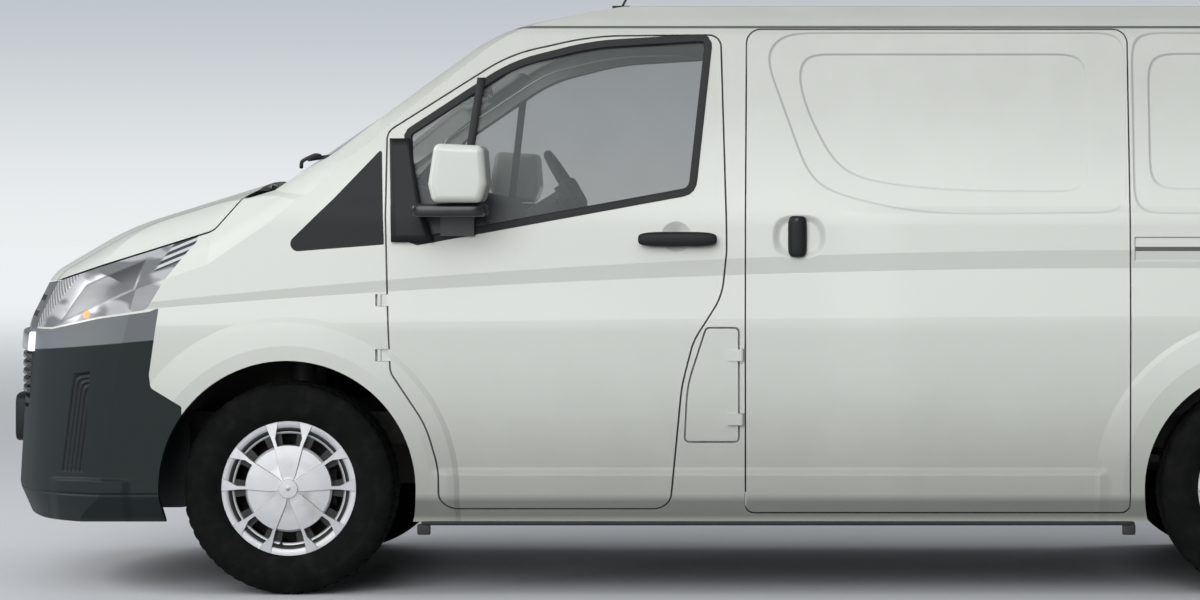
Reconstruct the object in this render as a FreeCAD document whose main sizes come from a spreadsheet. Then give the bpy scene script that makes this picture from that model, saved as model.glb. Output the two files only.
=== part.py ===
"""Panel van: a long-wheelbase load carrier with a short bonnet, hinged cab doors, sliding side doors and a tailgate.

Frame: +X rearward, +Y to the vehicle's right, +Z up; the origin is on the ground at the middle of the length.
The outer skin is one smooth hull. Walls, doors, lids, lamps and glass are cut from it along the shut lines,
so each panel carries the real curve, and neighbours keep one even gap.
"""
import FreeCAD, Part
import Sketcher
import math
import os

Vec = FreeCAD.Vector

# Driving dimensions in millimetres. Each name is a cell of the spreadsheet "Sizes".
SIZES = {
    # whole vehicle
    "overall_length": 5265, "body_width": 1950, "roof_height": 1985, "wheelbase": 3210,
    "front_overhang": 1040, "sill_height": 250, "track": 1664,
    # side view of nose, bonnet and screen: heights, then distances behind the foremost point
    "nose_foot_height": 330, "nose_top_height": 880, "lip_height": 1050, "bonnet_height": 1205,
    "cowl_height": 1395, "screen_height": 1868, "roof_front_height": 1957,
    "nose_top_back": 32, "lip_back": 117, "bonnet_back": 382, "cowl_back": 992,
    "screen_back": 1682, "roof_front_back": 2132,
    # plan curves: a shallow centre arc, then a tight corner arc
    "nose_plan_radius": 1750, "nose_corner_start": 700, "screen_plan_radius": 6000,
    "screen_corner_start": 640, "tail_plan_radius": 4000, "tail_corner_start": 830,
    # cross section: how far each line of the side stands in from the full width, and its height
    "foot_inset": 70, "rocker_inset": 17, "rocker_height": 320, "crease_height": 885,
    "belt_inset": 23, "belt_height": 1250, "shoulder_inset": 40, "shoulder_height": 1310,
    "rail_inset": 175, "rail_height": 1880, "gutter_inset": 275, "gutter_height": 1945,
    "roof_crown_radius": 9000,
    # wing crown over the bonnet's sides
    "crown_slope": 0.3125, "crown_rise": 0.62, "crown_reach": 550, "crown_back": 780,
    "crown_edge_height": 1199, "crown_edge_inset": 105,
    # walls and gaps
    "wall": 60, "skin": 30, "gap": 6, "door_draft": 0.14, "glass_set": 12, "glass_thickness": 6,
    "fit": 0.3,
    # wheels
    "tyre_radius": 350, "tyre_width": 215, "rim_radius": 203, "flange_radius": 214, "rim_width": 165,
    "window_inner": 128, "window_outer": 183, "pilot_radius": 32,
    "arch_radius": 422, "rear_arch_radius": 400, "kingpin_side": 760, "hub_radius": 70,
    # floor, rails and running gear
    "floor_height": 620, "floor_thickness": 40, "rail_width": 70, "rail_depth": 110, "rail_side": 480,
    "axle_tube_radius": 38, "diff_radius": 135, "leaf_length": 1240, "leaf_width": 65, "leaf_side": 600,
    "shaft_radius": 32, "pipe_radius": 26, "tank_length": 760, "tank_height": 230,
    # doors, tail and cab
    "slide_front": -88, "slide_rear": 1168, "slide_foot": 273, "slide_top": 1862,
    "gate_foot": 560, "gate_half_width": 775, "gate_back_gap": 200, "drip_height": 1872,
    "steering_side": 380, "steering_rim_radius": 185, "steering_tube_radius": 15,
    "seat_width": 490, "seat_side": 400, "pin_radius": 4, "barrel_radius": 8, "hinge_length": 40,
    "tow_bore_radius": 14,
}

doc = FreeCAD.newDocument("PanelVan")
sheet = doc.addObject("Spreadsheet::Sheet", "Sizes")
for row, (name, value) in enumerate(SIZES.items(), start=1):
    sheet.set(f"A{row}", name)
    sheet.set(f"B{row}", str(value))
    sheet.setAlias(f"B{row}", name)
doc.recompute()


class Sheet:
    """The sheet's numbers, as plain attributes."""


s = Sheet()
for name in SIZES:
    setattr(s, name, float(sheet.get(name)))


class Dim:
    """A length that carries its value and the sheet formula that gives it."""

    def __init__(self, value, text):
        self.value = value
        self.text = text

    def mix(self, other, sign, value, swap=False):
        text = other.text if isinstance(other, Dim) else f"{other:.6f}"
        pair = (text, self.text) if swap else (self.text, text)
        return Dim(value, f"({pair[0]} {sign} {pair[1]})")

    def __add__(self, other):
        return self.mix(other, "+", self.value + plain(other))

    def __radd__(self, other):
        return self.mix(other, "+", self.value + plain(other), swap=True)

    def __sub__(self, other):
        return self.mix(other, "-", self.value - plain(other))

    def __rsub__(self, other):
        return self.mix(other, "-", plain(other) - self.value, swap=True)

    def __mul__(self, other):
        return self.mix(other, "*", self.value * plain(other))

    def __rmul__(self, other):
        return self.mix(other, "*", self.value * plain(other), swap=True)

    def __truediv__(self, other):
        return self.mix(other, "/", self.value / plain(other))


def plain(size):
    return size.value if isinstance(size, Dim) else float(size)


class Bound:
    """The sheet's cells as bound lengths."""


d = Bound()
for name in SIZES:
    setattr(d, name, Dim(getattr(s, name), f"Sizes.{name}"))

# Places that follow from the driving dimensions
NOSE = -s.overall_length / 2
TAIL = s.overall_length / 2
HALF = s.body_width / 2
FRONT_AXLE = NOSE + s.front_overhang
REAR_AXLE = FRONT_AXLE + s.wheelbase
AXLE_HEIGHT = s.tyre_radius
WHEEL_SIDE = s.track / 2
CROWN_START = NOSE + s.crown_back
FLOOR_EDGE = HALF - s.wall - 30
FLOOR_LOW = s.floor_height - s.floor_thickness
RAIL_TOP = FLOOR_LOW
RAIL_LOW = RAIL_TOP - s.rail_depth


def from_nose(back, height):
    return NOSE + back, height


def side_at(inset):
    return HALF - inset


def corner_arc(before, point, after, radius):
    """Start, middle and end of the arc that rounds a corner, or None where it stays sharp."""
    first = Vec(before[0] - point[0], before[1] - point[1], 0)
    second = Vec(after[0] - point[0], after[1] - point[1], 0)
    angle = first.getAngle(second)
    if radius <= 0 or angle > math.radians(179.5):
        return None
    first.normalize()
    second.normalize()
    reach = radius / math.tan(angle / 2)
    middle = (first + second).normalize()
    depth = radius / math.sin(angle / 2) - radius
    corner = Vec(point[0], point[1], 0)
    return corner + first * reach, corner + middle * depth, corner + second * reach


def outline(corners, plane):
    """Closed wire of straight runs with rounded corners; each corner is (u, v, radius)."""
    count = len(corners)
    arcs = []
    for index, (u, v, radius) in enumerate(corners):
        after = corners[(index + 1) % count]
        arcs.append(corner_arc(corners[index - 1], (u, v), after, radius))
    edges = []
    for index, arc in enumerate(arcs):
        follower = arcs[(index + 1) % count]
        corner = Vec(corners[index][0], corners[index][1], 0)
        following = Vec(*corners[(index + 1) % count][:2], 0)
        if arc:
            edges.append(Part.Arc(*[plane(point) for point in arc]).toShape())
        start = arc[2] if arc else corner
        end = follower[0] if follower else following
        if start.distanceToPoint(end) > 1e-6:
            edges.append(Part.LineSegment(plane(start), plane(end)).toShape())
    return Part.Wire(edges)


def side_plane(at=0.0):
    """Side view: u is X and v is Z, at one Y."""
    return lambda point: Vec(point.x, at, point.y)


def front_plane(at=0.0):
    """Front view: u is Y and v is Z, at one X."""
    return lambda point: Vec(at, point.x, point.y)


def top_plane(at=0.0):
    """Plan: u is X and v is Y, at one Z."""
    return lambda point: Vec(point.x, point.y, at)


def turn_of(corners):
    """Twice the signed area: positive where the corners run anticlockwise."""
    total = 0.0
    for index, (u, v, radius) in enumerate(corners):
        before = corners[index - 1]
        total += before[0] * v - u * before[1]
    return total


def inset_outline(corners, distance):
    """The outline moved inward by one distance, its radii kept concentric."""
    if not distance:
        return corners
    sign = 1.0 if turn_of(corners) > 0 else -1.0
    count = len(corners)
    lines = []
    for index in range(count):
        u, v, radius = corners[index]
        u2, v2, radius2 = corners[(index + 1) % count]
        length = math.hypot(u2 - u, v2 - v)
        run = ((u2 - u) / length, (v2 - v) / length)
        shift = (-run[1] * sign * distance, run[0] * sign * distance)
        lines.append(((u + shift[0], v + shift[1]), run))
    moved = []
    for index in range(count):
        (point, run), (point2, run2) = lines[index - 1], lines[index]
        cross = run[0] * run2[1] - run[1] * run2[0]
        if abs(cross) < 1e-6:
            u, v = point2
        else:
            step = ((point2[0] - point[0]) * run2[1] - (point2[1] - point[1]) * run2[0]) / cross
            u, v = point[0] + run[0] * step, point[1] + run[1] * step
        radius = corners[index][2]
        if radius > 0:
            radius = max(0.0, radius - distance if cross * sign > 0 else radius + distance)
        moved.append((u, v, radius))
    return moved


def prism(corners, plane_maker, start, end, axis):
    """Outline pulled along one axis from start to end."""
    face = Part.Face(outline(corners, plane_maker(start)))
    return face.extrude(axis * (end - start))


def side_prism(corners, start, end):
    return prism(corners, side_plane, start, end, Vec(0, 1, 0))


def front_prism(corners, start, end):
    return prism(corners, front_plane, start, end, Vec(1, 0, 0))


def top_prism(corners, start, end):
    return prism(corners, top_plane, start, end, Vec(0, 0, 1))


def block(x0, x1, y0, y1, z0, z1):
    return Part.makeBox(x1 - x0, y1 - y0, z1 - z0, Vec(x0, y0, z0))


def rod(radius, start, end):
    """Round bar between two points."""
    run = Vec(*end) - Vec(*start)
    return Part.makeCylinder(radius, run.Length, Vec(*start), run)


def mirrored(shape):
    """The same piece on the vehicle's other side."""
    return shape.mirror(Vec(0, 0, 0), Vec(0, 1, 0))


def joined(shapes):
    shapes = [shape for shape in shapes if shape is not None]
    return shapes[0].multiFuse(shapes[1:]).removeSplitter() if len(shapes) > 1 else shapes[0]


def largest(shape):
    """The main solid, without slivers that a cut leaves."""
    return max(shape.Solids, key=lambda solid: solid.Volume)


def plan_curve(radius, corner_start, inset):
    """Plan view of a nose, screen or tail: shallow centre arc with a tighter arc out to each side."""
    first = math.asin(corner_start / radius)
    last = math.radians(82)
    back = radius * (1 - math.cos(first))
    corner_radius = (HALF + 6 - corner_start) / (math.sin(last) - math.sin(first)) - inset

    def corner(angle, side):
        x = back + corner_radius * (math.cos(first) - math.cos(angle))
        y = corner_start + corner_radius * (math.sin(angle) - math.sin(first))
        return Vec(x, side * y, 0)

    half_way = (first + last) / 2
    left = Part.Arc(corner(last, -1), corner(half_way, -1), corner(first, -1)).toShape()
    centre = Part.Arc(Vec(back, -corner_start, 0), Vec(0, 0, 0), Vec(back, corner_start, 0)).toShape()
    right = Part.Arc(corner(first, 1), corner(half_way, 1), corner(last, 1)).toShape()
    return Part.Wire([left, centre, right])


def swept(profile, curve):
    """Side profile carried along a plan curve without turning."""
    start = curve.OrderedVertexes[0].Point
    section = profile.copy()
    section.translate(Vec(start.x, start.y, 0))
    pipe = Part.BRepOffsetAPI.MakePipeShell(curve)
    pipe.setTrihedronMode(Vec(0, 0, 0), Vec(0, 0, 1))
    pipe.add(section)
    pipe.build()
    pipe.makeSolid()
    return pipe.shape()


def hull(inset, bottom):
    """The body's outer form, moved inward by an inset, down to a bottom height."""
    low = [(*from_nose(0, s.nose_foot_height), 60), (*from_nose(s.nose_top_back, s.nose_top_height), 200),
           (*from_nose(s.lip_back, s.lip_height), 130), (*from_nose(s.bonnet_back, s.bonnet_height), 900),
           (*from_nose(s.cowl_back, s.cowl_height), 0), (NOSE + s.cowl_back + 700, s.cowl_height + 225, 0),
           (NOSE + s.cowl_back + 700, bottom, 0), (*from_nose(40, bottom), 0)]
    slope = (s.screen_height - s.cowl_height) / (s.screen_back - s.cowl_back)
    screen_foot = NOSE + 330
    high = [(screen_foot, s.cowl_height - slope * (NOSE + s.cowl_back - screen_foot), 0),
            (*from_nose(s.screen_back, s.screen_height), 600),
            (*from_nose(s.roof_front_back, s.roof_front_height), 2500),
            (*from_nose(s.roof_front_back + 400, s.roof_height - 2), 8000),
            (TAIL + 700, s.roof_height + 125, 0), (TAIL + 700, bottom, 0), (screen_foot, bottom, 0)]
    side = [(side_at(s.foot_inset), bottom, 0), (side_at(s.foot_inset), s.sill_height + 2, 30),
            (side_at(s.rocker_inset), s.rocker_height, 40), (HALF, s.crease_height, 500),
            (side_at(s.belt_inset), s.belt_height, 300), (side_at(s.shoulder_inset), s.shoulder_height, 150),
            (side_at(s.rail_inset), s.rail_height, 120), (side_at(s.gutter_inset), s.gutter_height, 0)]
    section = side + [(0, s.roof_height, s.roof_crown_radius)] + [(-y, z, r) for y, z, r in reversed(side)]
    tail = [(NOSE - 400, bottom, 0), (TAIL - 32, bottom, 0), (TAIL, 1000, 300),
            (TAIL - 135, s.roof_height - 2, 90), (NOSE - 400, s.roof_height + 3, 0)]
    nose_curve = plan_curve(s.nose_plan_radius, s.nose_corner_start, inset)
    screen_curve = plan_curve(s.screen_plan_radius, s.screen_corner_start, inset)
    tail_curve = plan_curve(s.tail_plan_radius, s.tail_corner_start, inset)
    nose = swept(outline(inset_outline(low, inset), side_plane()), nose_curve)
    screen = swept(outline(inset_outline(high, inset), side_plane()), screen_curve)
    sides = front_prism(inset_outline(section, inset), NOSE - 60, TAIL + 60)
    rear_profile = [(-x, z, r) for x, z, r in inset_outline(tail, inset)]
    rear = swept(outline(rear_profile, side_plane()), tail_curve).mirror(Vec(0, 0, 0), Vec(1, 0, 0))
    edge = side_at(s.crown_edge_inset)
    crown_side = [(side_at(-60), bottom, 0), (side_at(-60), s.crown_edge_height - 230, 0),
                  (edge + 60, s.crown_edge_height - 60, 160), (edge - 130, s.crown_edge_height + 62, 500)]
    crown_section = crown_side + [(0, s.crown_edge_height + 320, 0)]
    crown_section += [(-y, z, r) for y, z, r in reversed(crown_side)]
    crown_face = Part.Face(outline(inset_outline(crown_section, inset), front_plane(CROWN_START)))
    fore = crown_face.extrude(Vec(-1, 0, -s.crown_slope) * 1000)
    aft = crown_face.extrude(Vec(1, 0, s.crown_rise) * s.crown_reach)
    rest = block(CROWN_START + s.crown_reach, TAIL + 200, -HALF - 200, HALF + 200, bottom, s.roof_height + 200)
    return nose.fuse(screen).common(sides).common(rear).common(fore.fuse(aft).fuse(rest))


def behind_axle(corners):
    """Side outline given as distances behind the front axle, in the vehicle's frame."""
    return [(FRONT_AXLE + back, height, radius) for back, height, radius in corners]


def grown(corners, distance):
    return inset_outline(corners, -distance)


# Shut lines of the left side seen square on: distance behind the front axle, height, corner radius
CAB_DOOR = behind_axle([(310, 1528, 55), (342, 735, 60), (457, 560, 350), (497, 420, 300), (497, 281, 60),
                        (1254, 281, 60), (1292, 690, 500), (1330, 838, 200), (1424, 985, 200),
                        (1440, 1130, 200), (1437, 1866, 60), (992, 1862, 900), (712, 1797, 500)])
DOOR_WINDOW = behind_axle([(396, 1515, 12), (414, 1168, 12), (1320, 1334, 36), (1370, 1829, 20),
                           (992, 1806, 900), (732, 1740, 500)])
QUARTER_TRIM = behind_axle([(-30, 1125, 25), (318, 1152, 6), (304, 1468, 6), (152, 1305, 800)])
BONNET = behind_axle([(-1060, 1012, 0), (-828, 1026, 200), (-709, 1059, 300), (-261, 1199, 60),
                      (-176, 1311, 60), (-150, 1330, 0), (-150, 1500, 0), (-1060, 1500, 0)])
HEADLAMP = behind_axle([(-1060, 868, 0), (-803, 876, 60), (-619, 915, 200), (-459, 938, 30), (-403, 1032, 90),
                        (-283, 1198, 20), (-436, 1168, 200), (-709, 1059, 300), (-828, 1026, 200),
                        (-1060, 1006, 0)])
BUMPER = behind_axle([(-1060, 200, 0), (-1060, 862, 0), (-803, 870, 60), (-619, 909, 200), (-450, 932, 60),
                      (-418, 945, 4), (-450, 726, 20), (-445, 683, 20), (-344, 621, 8), (-344, 200, 0)])
FUEL_LID = behind_axle([(1376, 877, 12), (1478, 877, 12), (1478, 509, 12), (1306, 509, 12), (1315, 690, 400)])
SLIDE_DOOR = [(s.slide_front, s.slide_foot, 25), (s.slide_rear, s.slide_foot, 25),
              (s.slide_rear, s.slide_top, 45), (s.slide_front, s.slide_top, 45)]
WING_REAR = FRONT_AXLE + 492
BONNET_REAR = FRONT_AXLE - 150
GATE_FRONT = TAIL - s.gate_back_gap
LAMP_SIDE = 640
TOP = s.roof_height + 100
GATE = [(-s.gate_half_width, s.gate_foot, 60), (-s.gate_half_width, s.belt_height, 400),
        (90 - s.gate_half_width, TOP, 0), (s.gate_half_width - 90, TOP, 0),
        (s.gate_half_width, s.belt_height, 400), (s.gate_half_width, s.gate_foot, 60)]
REAR_WINDOW = [(-610, 1300, 70), (-560, 1790, 70), (560, 1790, 70), (610, 1300, 70)]
SCREEN = [(-835, s.cowl_height, 60), (-690, s.drip_height - 4, 70), (690, s.drip_height - 4, 70),
          (835, s.cowl_height, 60)]
REAR_LAMP = [(-960, 880, 0), (-960, 1390, 0), (-868, 1390, 30), (-842, 880, 30)]

outer = hull(0, s.sill_height - 10)
skin_inside = hull(s.skin, s.sill_height - 150)
wall_inside = hull(s.wall, s.sill_height - 150)
shell = outer.cut(wall_inside)
skin = outer.cut(skin_inside)
lining = skin_inside.cut(wall_inside)
glass_layer = hull(s.glass_set, s.sill_height + 200).cut(hull(s.glass_set + s.glass_thickness, s.sill_height + 100))
LEFT = block(NOSE - 50, TAIL + 50, -HALF - 60, -1, 0, TOP + 100)


def drafted(corners, growth):
    """Door-shaped tool for the left side: its outline narrows inward, so the door can swing out."""
    depth = 300.0
    start = -HALF - 20
    near = outline(inset_outline(corners, -growth - s.door_draft * 20), side_plane(start))
    far = outline(inset_outline(corners, -growth + s.door_draft * (depth - 20)), side_plane(start + depth))
    return Part.makeLoft([near, far], True, True)


def arch(axle, radius):
    return Part.makeCylinder(radius, 600, Vec(axle, -HALF - 100, AXLE_HEIGHT), Vec(0, 1, 0))


def hinge_parts(axis_x, axis_y, low, side):
    """Vertical door hinge: a pin with its notch in the post, and a barrel with a leaf on the door."""
    high = low + s.hinge_length
    pin = rod(s.pin_radius, (axis_x, axis_y, low - 6), (axis_x, axis_y, high + 6))
    barrel = rod(s.barrel_radius, (axis_x, axis_y, low + 1), (axis_x, axis_y, high - 1))
    leaf = block(*sorted((axis_x, axis_x + side * 44)), axis_y - 3, axis_y + 6, low + 1, high - 1)
    bore = rod(s.pin_radius + s.fit, (axis_x, axis_y, low - 10), (axis_x, axis_y, high + 10))
    start, end = sorted((axis_x - side * (s.barrel_radius + 6), axis_x + side * 60))
    notch = block(start, end, axis_y - 30, axis_y + s.barrel_radius + 8, low, high)
    return pin, barrel.fuse(leaf).cut(bore), notch, bore


DOOR_AXIS_X = FRONT_AXLE + 305
DOOR_AXIS_Y = -HALF + 10
DOOR_HINGES = (770, 950)
LID_AXIS_X = FRONT_AXLE + 1488
LID_AXIS_Y = -HALF + 3

door_tool = drafted(CAB_DOOR, 0)
door_hole = drafted(CAB_DOOR, s.gap)
window_tool = side_prism(DOOR_WINDOW, -HALF - 50, -HALF + 400)
slide_tool = side_prism(SLIDE_DOOR, -HALF - 50, -HALF + 200)
slide_hole = side_prism(grown(SLIDE_DOOR, s.gap - 1), -HALF - 50, -HALF + 200)
bonnet_tool = side_prism(BONNET, -HALF - 50, HALF + 50)
bonnet_hole = side_prism(grown(BONNET, s.gap), -HALF - 50, HALF + 50)
lamp_tool = side_prism(HEADLAMP, -HALF - 50, -LAMP_SIDE)
bumper_tool = side_prism(BUMPER, -HALF - 50, HALF + 50)
screen_tool = front_prism(SCREEN, FRONT_AXLE - 200, FRONT_AXLE + 1000)
gate_tool = front_prism(GATE, GATE_FRONT, TAIL + 50)
gate_hole = front_prism(grown(GATE, s.gap), GATE_FRONT - s.gap, TAIL + 50)
rear_lamp_tool = front_prism(REAR_LAMP, TAIL - 330, TAIL + 20)
wing_box = block(NOSE - 50, WING_REAR, -HALF - 60, HALF + 60, 0, s.cowl_height)
roof_box = block(NOSE, TAIL + 50, -HALF, HALF, s.drip_height, TOP)
rear_bumper_box = block(TAIL - 330, TAIL + 50, -HALF - 60, HALF + 60, 300, s.gate_foot + 60)
cowl_plan = [(BONNET_REAR - 20, -770, 30), (BONNET_REAR - 20, 770, 30), (FRONT_AXLE + 200, 790, 60),
             (FRONT_AXLE + 200, -790, 60)]
cowl_tool = top_prism(cowl_plan, 1100, s.cowl_height)

PIECES = []


def record(label, item):
    item.Label = label
    PIECES.append(item)
    return item


def panel(label, shape):
    """A curved panel as a feature whose shape is cut from the hull."""
    item = doc.addObject("Part::Feature", label)
    item.Shape = shape
    item.Placement = FreeCAD.Placement()
    return record(label, item)


# Body sides: posts, sill, rear quarter and rear corner, with the door holes and the drip line
body_side = shell.common(LEFT).cut(wing_box).cut(roof_box).cut(screen_tool).cut(gate_hole).cut(rear_bumper_box)
body_side = body_side.cut(door_hole).cut(slide_hole).cut(arch(REAR_AXLE, s.rear_arch_radius))
trim_tool = side_prism(QUARTER_TRIM, -HALF - 50, -HALF + 300)
body_side = body_side.cut(rear_lamp_tool).cut(cowl_tool).cut(trim_tool)
post_base = block(WING_REAR - 600, FRONT_AXLE + 330, -HALF - 60, 0, 200, s.cowl_height)
body_side = largest(body_side.cut(post_base))
lid_hole = side_prism(grown(FUEL_LID, s.gap), -HALF - 50, -HALF + 40)
lid_tool = side_prism(FUEL_LID, -HALF - 50, -HALF + 12)
panel("body_side_right", mirrored(body_side))
body_side_left = body_side.cut(lid_hole)
lid = skin.common(lid_tool)
for low in (560, 770):
    pin, barrel, notch, bore = hinge_parts(LID_AXIS_X, LID_AXIS_Y, low, -1)
    body_side_left = body_side_left.cut(notch).fuse(pin)
    lid = lid.cut(bore).fuse(barrel)
panel("body_side_left", largest(body_side_left))
panel("fuel_lid", largest(lid))



def cross_hinge(axis_x, axis_z, side, width=48.0):
    """Hinge across the vehicle: a pin and, apart from it, a barrel that turns round it."""
    pin = rod(s.pin_radius, (axis_x, side - width / 2 - 9, axis_z), (axis_x, side + width / 2 + 9, axis_z))
    ears = [block(axis_x - 8, axis_x + 8, side + y0, side + y0 + 8, axis_z - 34, axis_z + 6)
            for y0 in (-width / 2 - 9, width / 2 + 1)]
    barrel = rod(s.barrel_radius, (axis_x, side - width / 2, axis_z), (axis_x, side + width / 2, axis_z))
    bore = rod(s.pin_radius + s.fit, (axis_x, side - width, axis_z), (axis_x, side + width, axis_z))
    return joined([pin] + ears), barrel, bore


# Roof, with the tailgate's hinge ears at its rear edge, and the tailgate with its window
GATE_AXIS_X = GATE_FRONT - 14
GATE_AXIS_Z = s.roof_height + 8
roof = largest(shell.common(roof_box).cut(gate_hole).cut(screen_tool))
window_cut = front_prism(REAR_WINDOW, TAIL - 300, TAIL + 50)
tailgate = largest(shell.common(gate_tool).cut(window_cut))
for side in (-450, 450):
    ears, barrel, bore = cross_hinge(GATE_AXIS_X, GATE_AXIS_Z, side)
    strap = block(GATE_AXIS_X, GATE_FRONT + 30, side - 23, side + 23, GATE_AXIS_Z - 6, GATE_AXIS_Z + 3)
    riser = block(GATE_FRONT + 1, GATE_FRONT + 30, side - 23, side + 23, GATE_AXIS_Z - 60, GATE_AXIS_Z)
    roof = roof.fuse(ears)
    tailgate = tailgate.fuse(joined([barrel, strap, riser]).cut(bore))
panel("roof_panel", roof)
panel("tailgate", tailgate)
panel("tailgate_glass", largest(glass_layer.common(front_prism(inset_outline(REAR_WINDOW, s.fit), TAIL - 300,
                                                               TAIL + 50))))

# Bonnet, wings, bumper, grille and lamps
BONNET_AXIS_X = BONNET_REAR + 14
BONNET_AXIS_Z = s.cowl_height - 52
bonnet = largest(skin.common(bonnet_tool))
cowl = largest(lining.common(cowl_tool).cut(bonnet_hole).cut(screen_tool))
for side in (-300, 300):
    ears, barrel, bore = cross_hinge(BONNET_AXIS_X, BONNET_AXIS_Z, side)
    strap = block(BONNET_REAR - 24, BONNET_AXIS_X, side - 23, side + 23, BONNET_AXIS_Z - 5, BONNET_AXIS_Z + 4)
    cowl = cowl.fuse(ears)
    bonnet = bonnet.fuse(barrel.fuse(strap).cut(bore))
panel("bonnet", bonnet)
panel("cowl_panel", cowl)
nose_centre = block(NOSE - 50, FRONT_AXLE - 500, -LAMP_SIDE, LAMP_SIDE, 0, s.cowl_height)
wing = skin.common(LEFT).common(wing_box).cut(bonnet_hole).cut(lamp_tool).cut(bumper_tool).cut(cowl_tool)
wing = wing.cut(nose_centre).cut(arch(FRONT_AXLE, s.arch_radius)).cut(screen_tool).cut(door_hole)
quarter_trim = largest(shell.common(LEFT).common(trim_tool).cut(door_hole))
wing_left = largest(wing.cut(trim_tool))

intake = front_prism([(-600, 596, 50), (-560, 775, 60), (560, 775, 60), (600, 596, 50)], NOSE - 50, NOSE + 500)
bumper = skin.common(bumper_tool).cut(arch(FRONT_AXLE, s.arch_radius)).cut(intake)
bumper = bumper.cut(mirrored(arch(FRONT_AXLE, s.arch_radius)))
backing = lining.common(intake)
slats = [skin.common(intake).common(block(NOSE - 50, NOSE + 500, -600, 600, low, low + 18))
         for low in (612, 646, 680, 714, 748)]
grille = joined([backing] + slats)
panel("front_bumper", largest(bumper))
panel("front_grille", grille)
trim_zone = block(NOSE - 50, FRONT_AXLE - 500, -LAMP_SIDE + 1, LAMP_SIDE - 1, 862, s.cowl_height)
panel("grille_trim", largest(skin.common(trim_zone).cut(bonnet_hole).cut(bumper_tool)))
lamp = largest(shell.common(lamp_tool).cut(bonnet_hole).cut(bumper_tool))
rear_lamp = largest(shell.common(LEFT).common(rear_lamp_tool).cut(gate_hole))
for side, flip in (("left", lambda shape: shape), ("right", mirrored)):
    panel(f"quarter_trim_{side}", flip(quarter_trim))
    panel(f"headlamp_{side}", flip(lamp))
    panel(f"tail_lamp_{side}", flip(rear_lamp))
rear_bumper = shell.common(rear_bumper_box).cut(gate_hole)
panel("rear_bumper", largest(rear_bumper.cut(arch(REAR_AXLE, s.rear_arch_radius))))

# Windscreen and the recessed cowl under it
screen_glass = glass_layer.common(front_prism(inset_outline(SCREEN, s.fit), FRONT_AXLE - 200, FRONT_AXLE + 1000))
panel("windscreen", largest(screen_glass))

# Cab doors with their glass, mirrors and handles, and the fixed sliding doors
door = shell.common(door_tool).cut(window_tool)
for low in DOOR_HINGES:
    pin, barrel, notch, bore = hinge_parts(DOOR_AXIS_X, DOOR_AXIS_Y, low, 1)
    door = door.cut(bore).fuse(barrel)
    wing_left = wing_left.cut(notch).fuse(pin)
door_glass = largest(glass_layer.common(side_prism(inset_outline(DOOR_WINDOW, s.fit), -HALF - 50, -HALF + 400)))
slide_door = largest(shell.common(slide_tool))
for roller in (s.slide_front + 280, s.slide_rear - 180):
    slide_door = slide_door.fuse(block(roller - 25, roller + 25, -FLOOR_EDGE - 30, -FLOOR_EDGE - s.fit,
                                       s.floor_height - 34, s.floor_height - 6))
for side, flip in (("left", lambda shape: shape), ("right", mirrored)):
    panel(f"front_wing_{side}", flip(largest(wing_left)))
    panel(f"cab_door_{side}", flip(largest(door)))
    panel(f"door_glass_{side}", flip(door_glass))
    panel(f"sliding_door_{side}", flip(slide_door))


# Helpers for bodies and primitives bound to the sheet
def bind(item, name, size):
    if isinstance(size, Dim):
        item.setExpression(name, size.text)
    else:
        setattr(item, name, size)


def placed(item, at, direction=(0, 0, 1)):
    turn = FreeCAD.Rotation(Vec(0, 0, 1), Vec(*direction))
    item.Placement = FreeCAD.Placement(Vec(*at), turn)
    return item


def cylinder(radius, length, at, direction=(0, 0, 1)):
    item = doc.addObject("Part::Cylinder", "Cylinder")
    bind(item, "Radius", radius)
    bind(item, "Height", length)
    return placed(item, at, direction)


def cuboid(length, width, height, centre):
    item = doc.addObject("Part::Box", "Box")
    bind(item, "Length", length)
    bind(item, "Width", width)
    bind(item, "Height", height)
    return placed(item, (centre[0] - plain(length) / 2, centre[1] - plain(width) / 2, centre[2] - plain(height) / 2))


def fused(label, items):
    item = doc.addObject("Part::MultiFuse", label)
    item.Shapes = items
    item.Refine = True
    return record(label, item)


def sketch_on(body, role, loops, name):
    """Closed loops of straight lines on an origin plane; every corner is held by two bound distances."""
    sketch = body.newObject("Sketcher::SketchObject", name)
    plane = next(feature for feature in body.Origin.OriginFeatures if feature.Role == role)
    sketch.AttachmentSupport = [(plane, "")]
    sketch.MapMode = "FlatFace"
    for loop in loops:
        first = sketch.GeometryCount
        values = [(plain(u), plain(v)) for u, v in loop]
        for index, (u, v) in enumerate(values):
            u2, v2 = values[(index + 1) % len(values)]
            sketch.addGeometry(Part.LineSegment(Vec(u, v, 0), Vec(u2, v2, 0)), False)
        for index in range(len(loop)):
            following = first + (index + 1) % len(loop)
            sketch.addConstraint(Sketcher.Constraint("Coincident", first + index, 2, following, 1))
        for index, corner in enumerate(loop):
            for kind, size in zip(("DistanceX", "DistanceY"), corner):
                value = plain(size)
                count = sketch.addConstraint(Sketcher.Constraint(kind, -1, 1, first + index, 1, value))
                if isinstance(size, Dim):
                    sketch.setExpression(f"Constraints[{count}]", size.text)
    return sketch


def turned(body, profile, name):
    """Revolution about the wheel's axis, which is the sketch's horizontal axis."""
    sketch = sketch_on(body, "YZ_Plane", [profile], name + "Profile")
    feature = body.newObject("PartDesign::Revolution", name)
    feature.Profile = sketch
    feature.ReferenceAxis = (sketch, ["H_Axis"])
    feature.Angle = 360
    return feature


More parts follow.
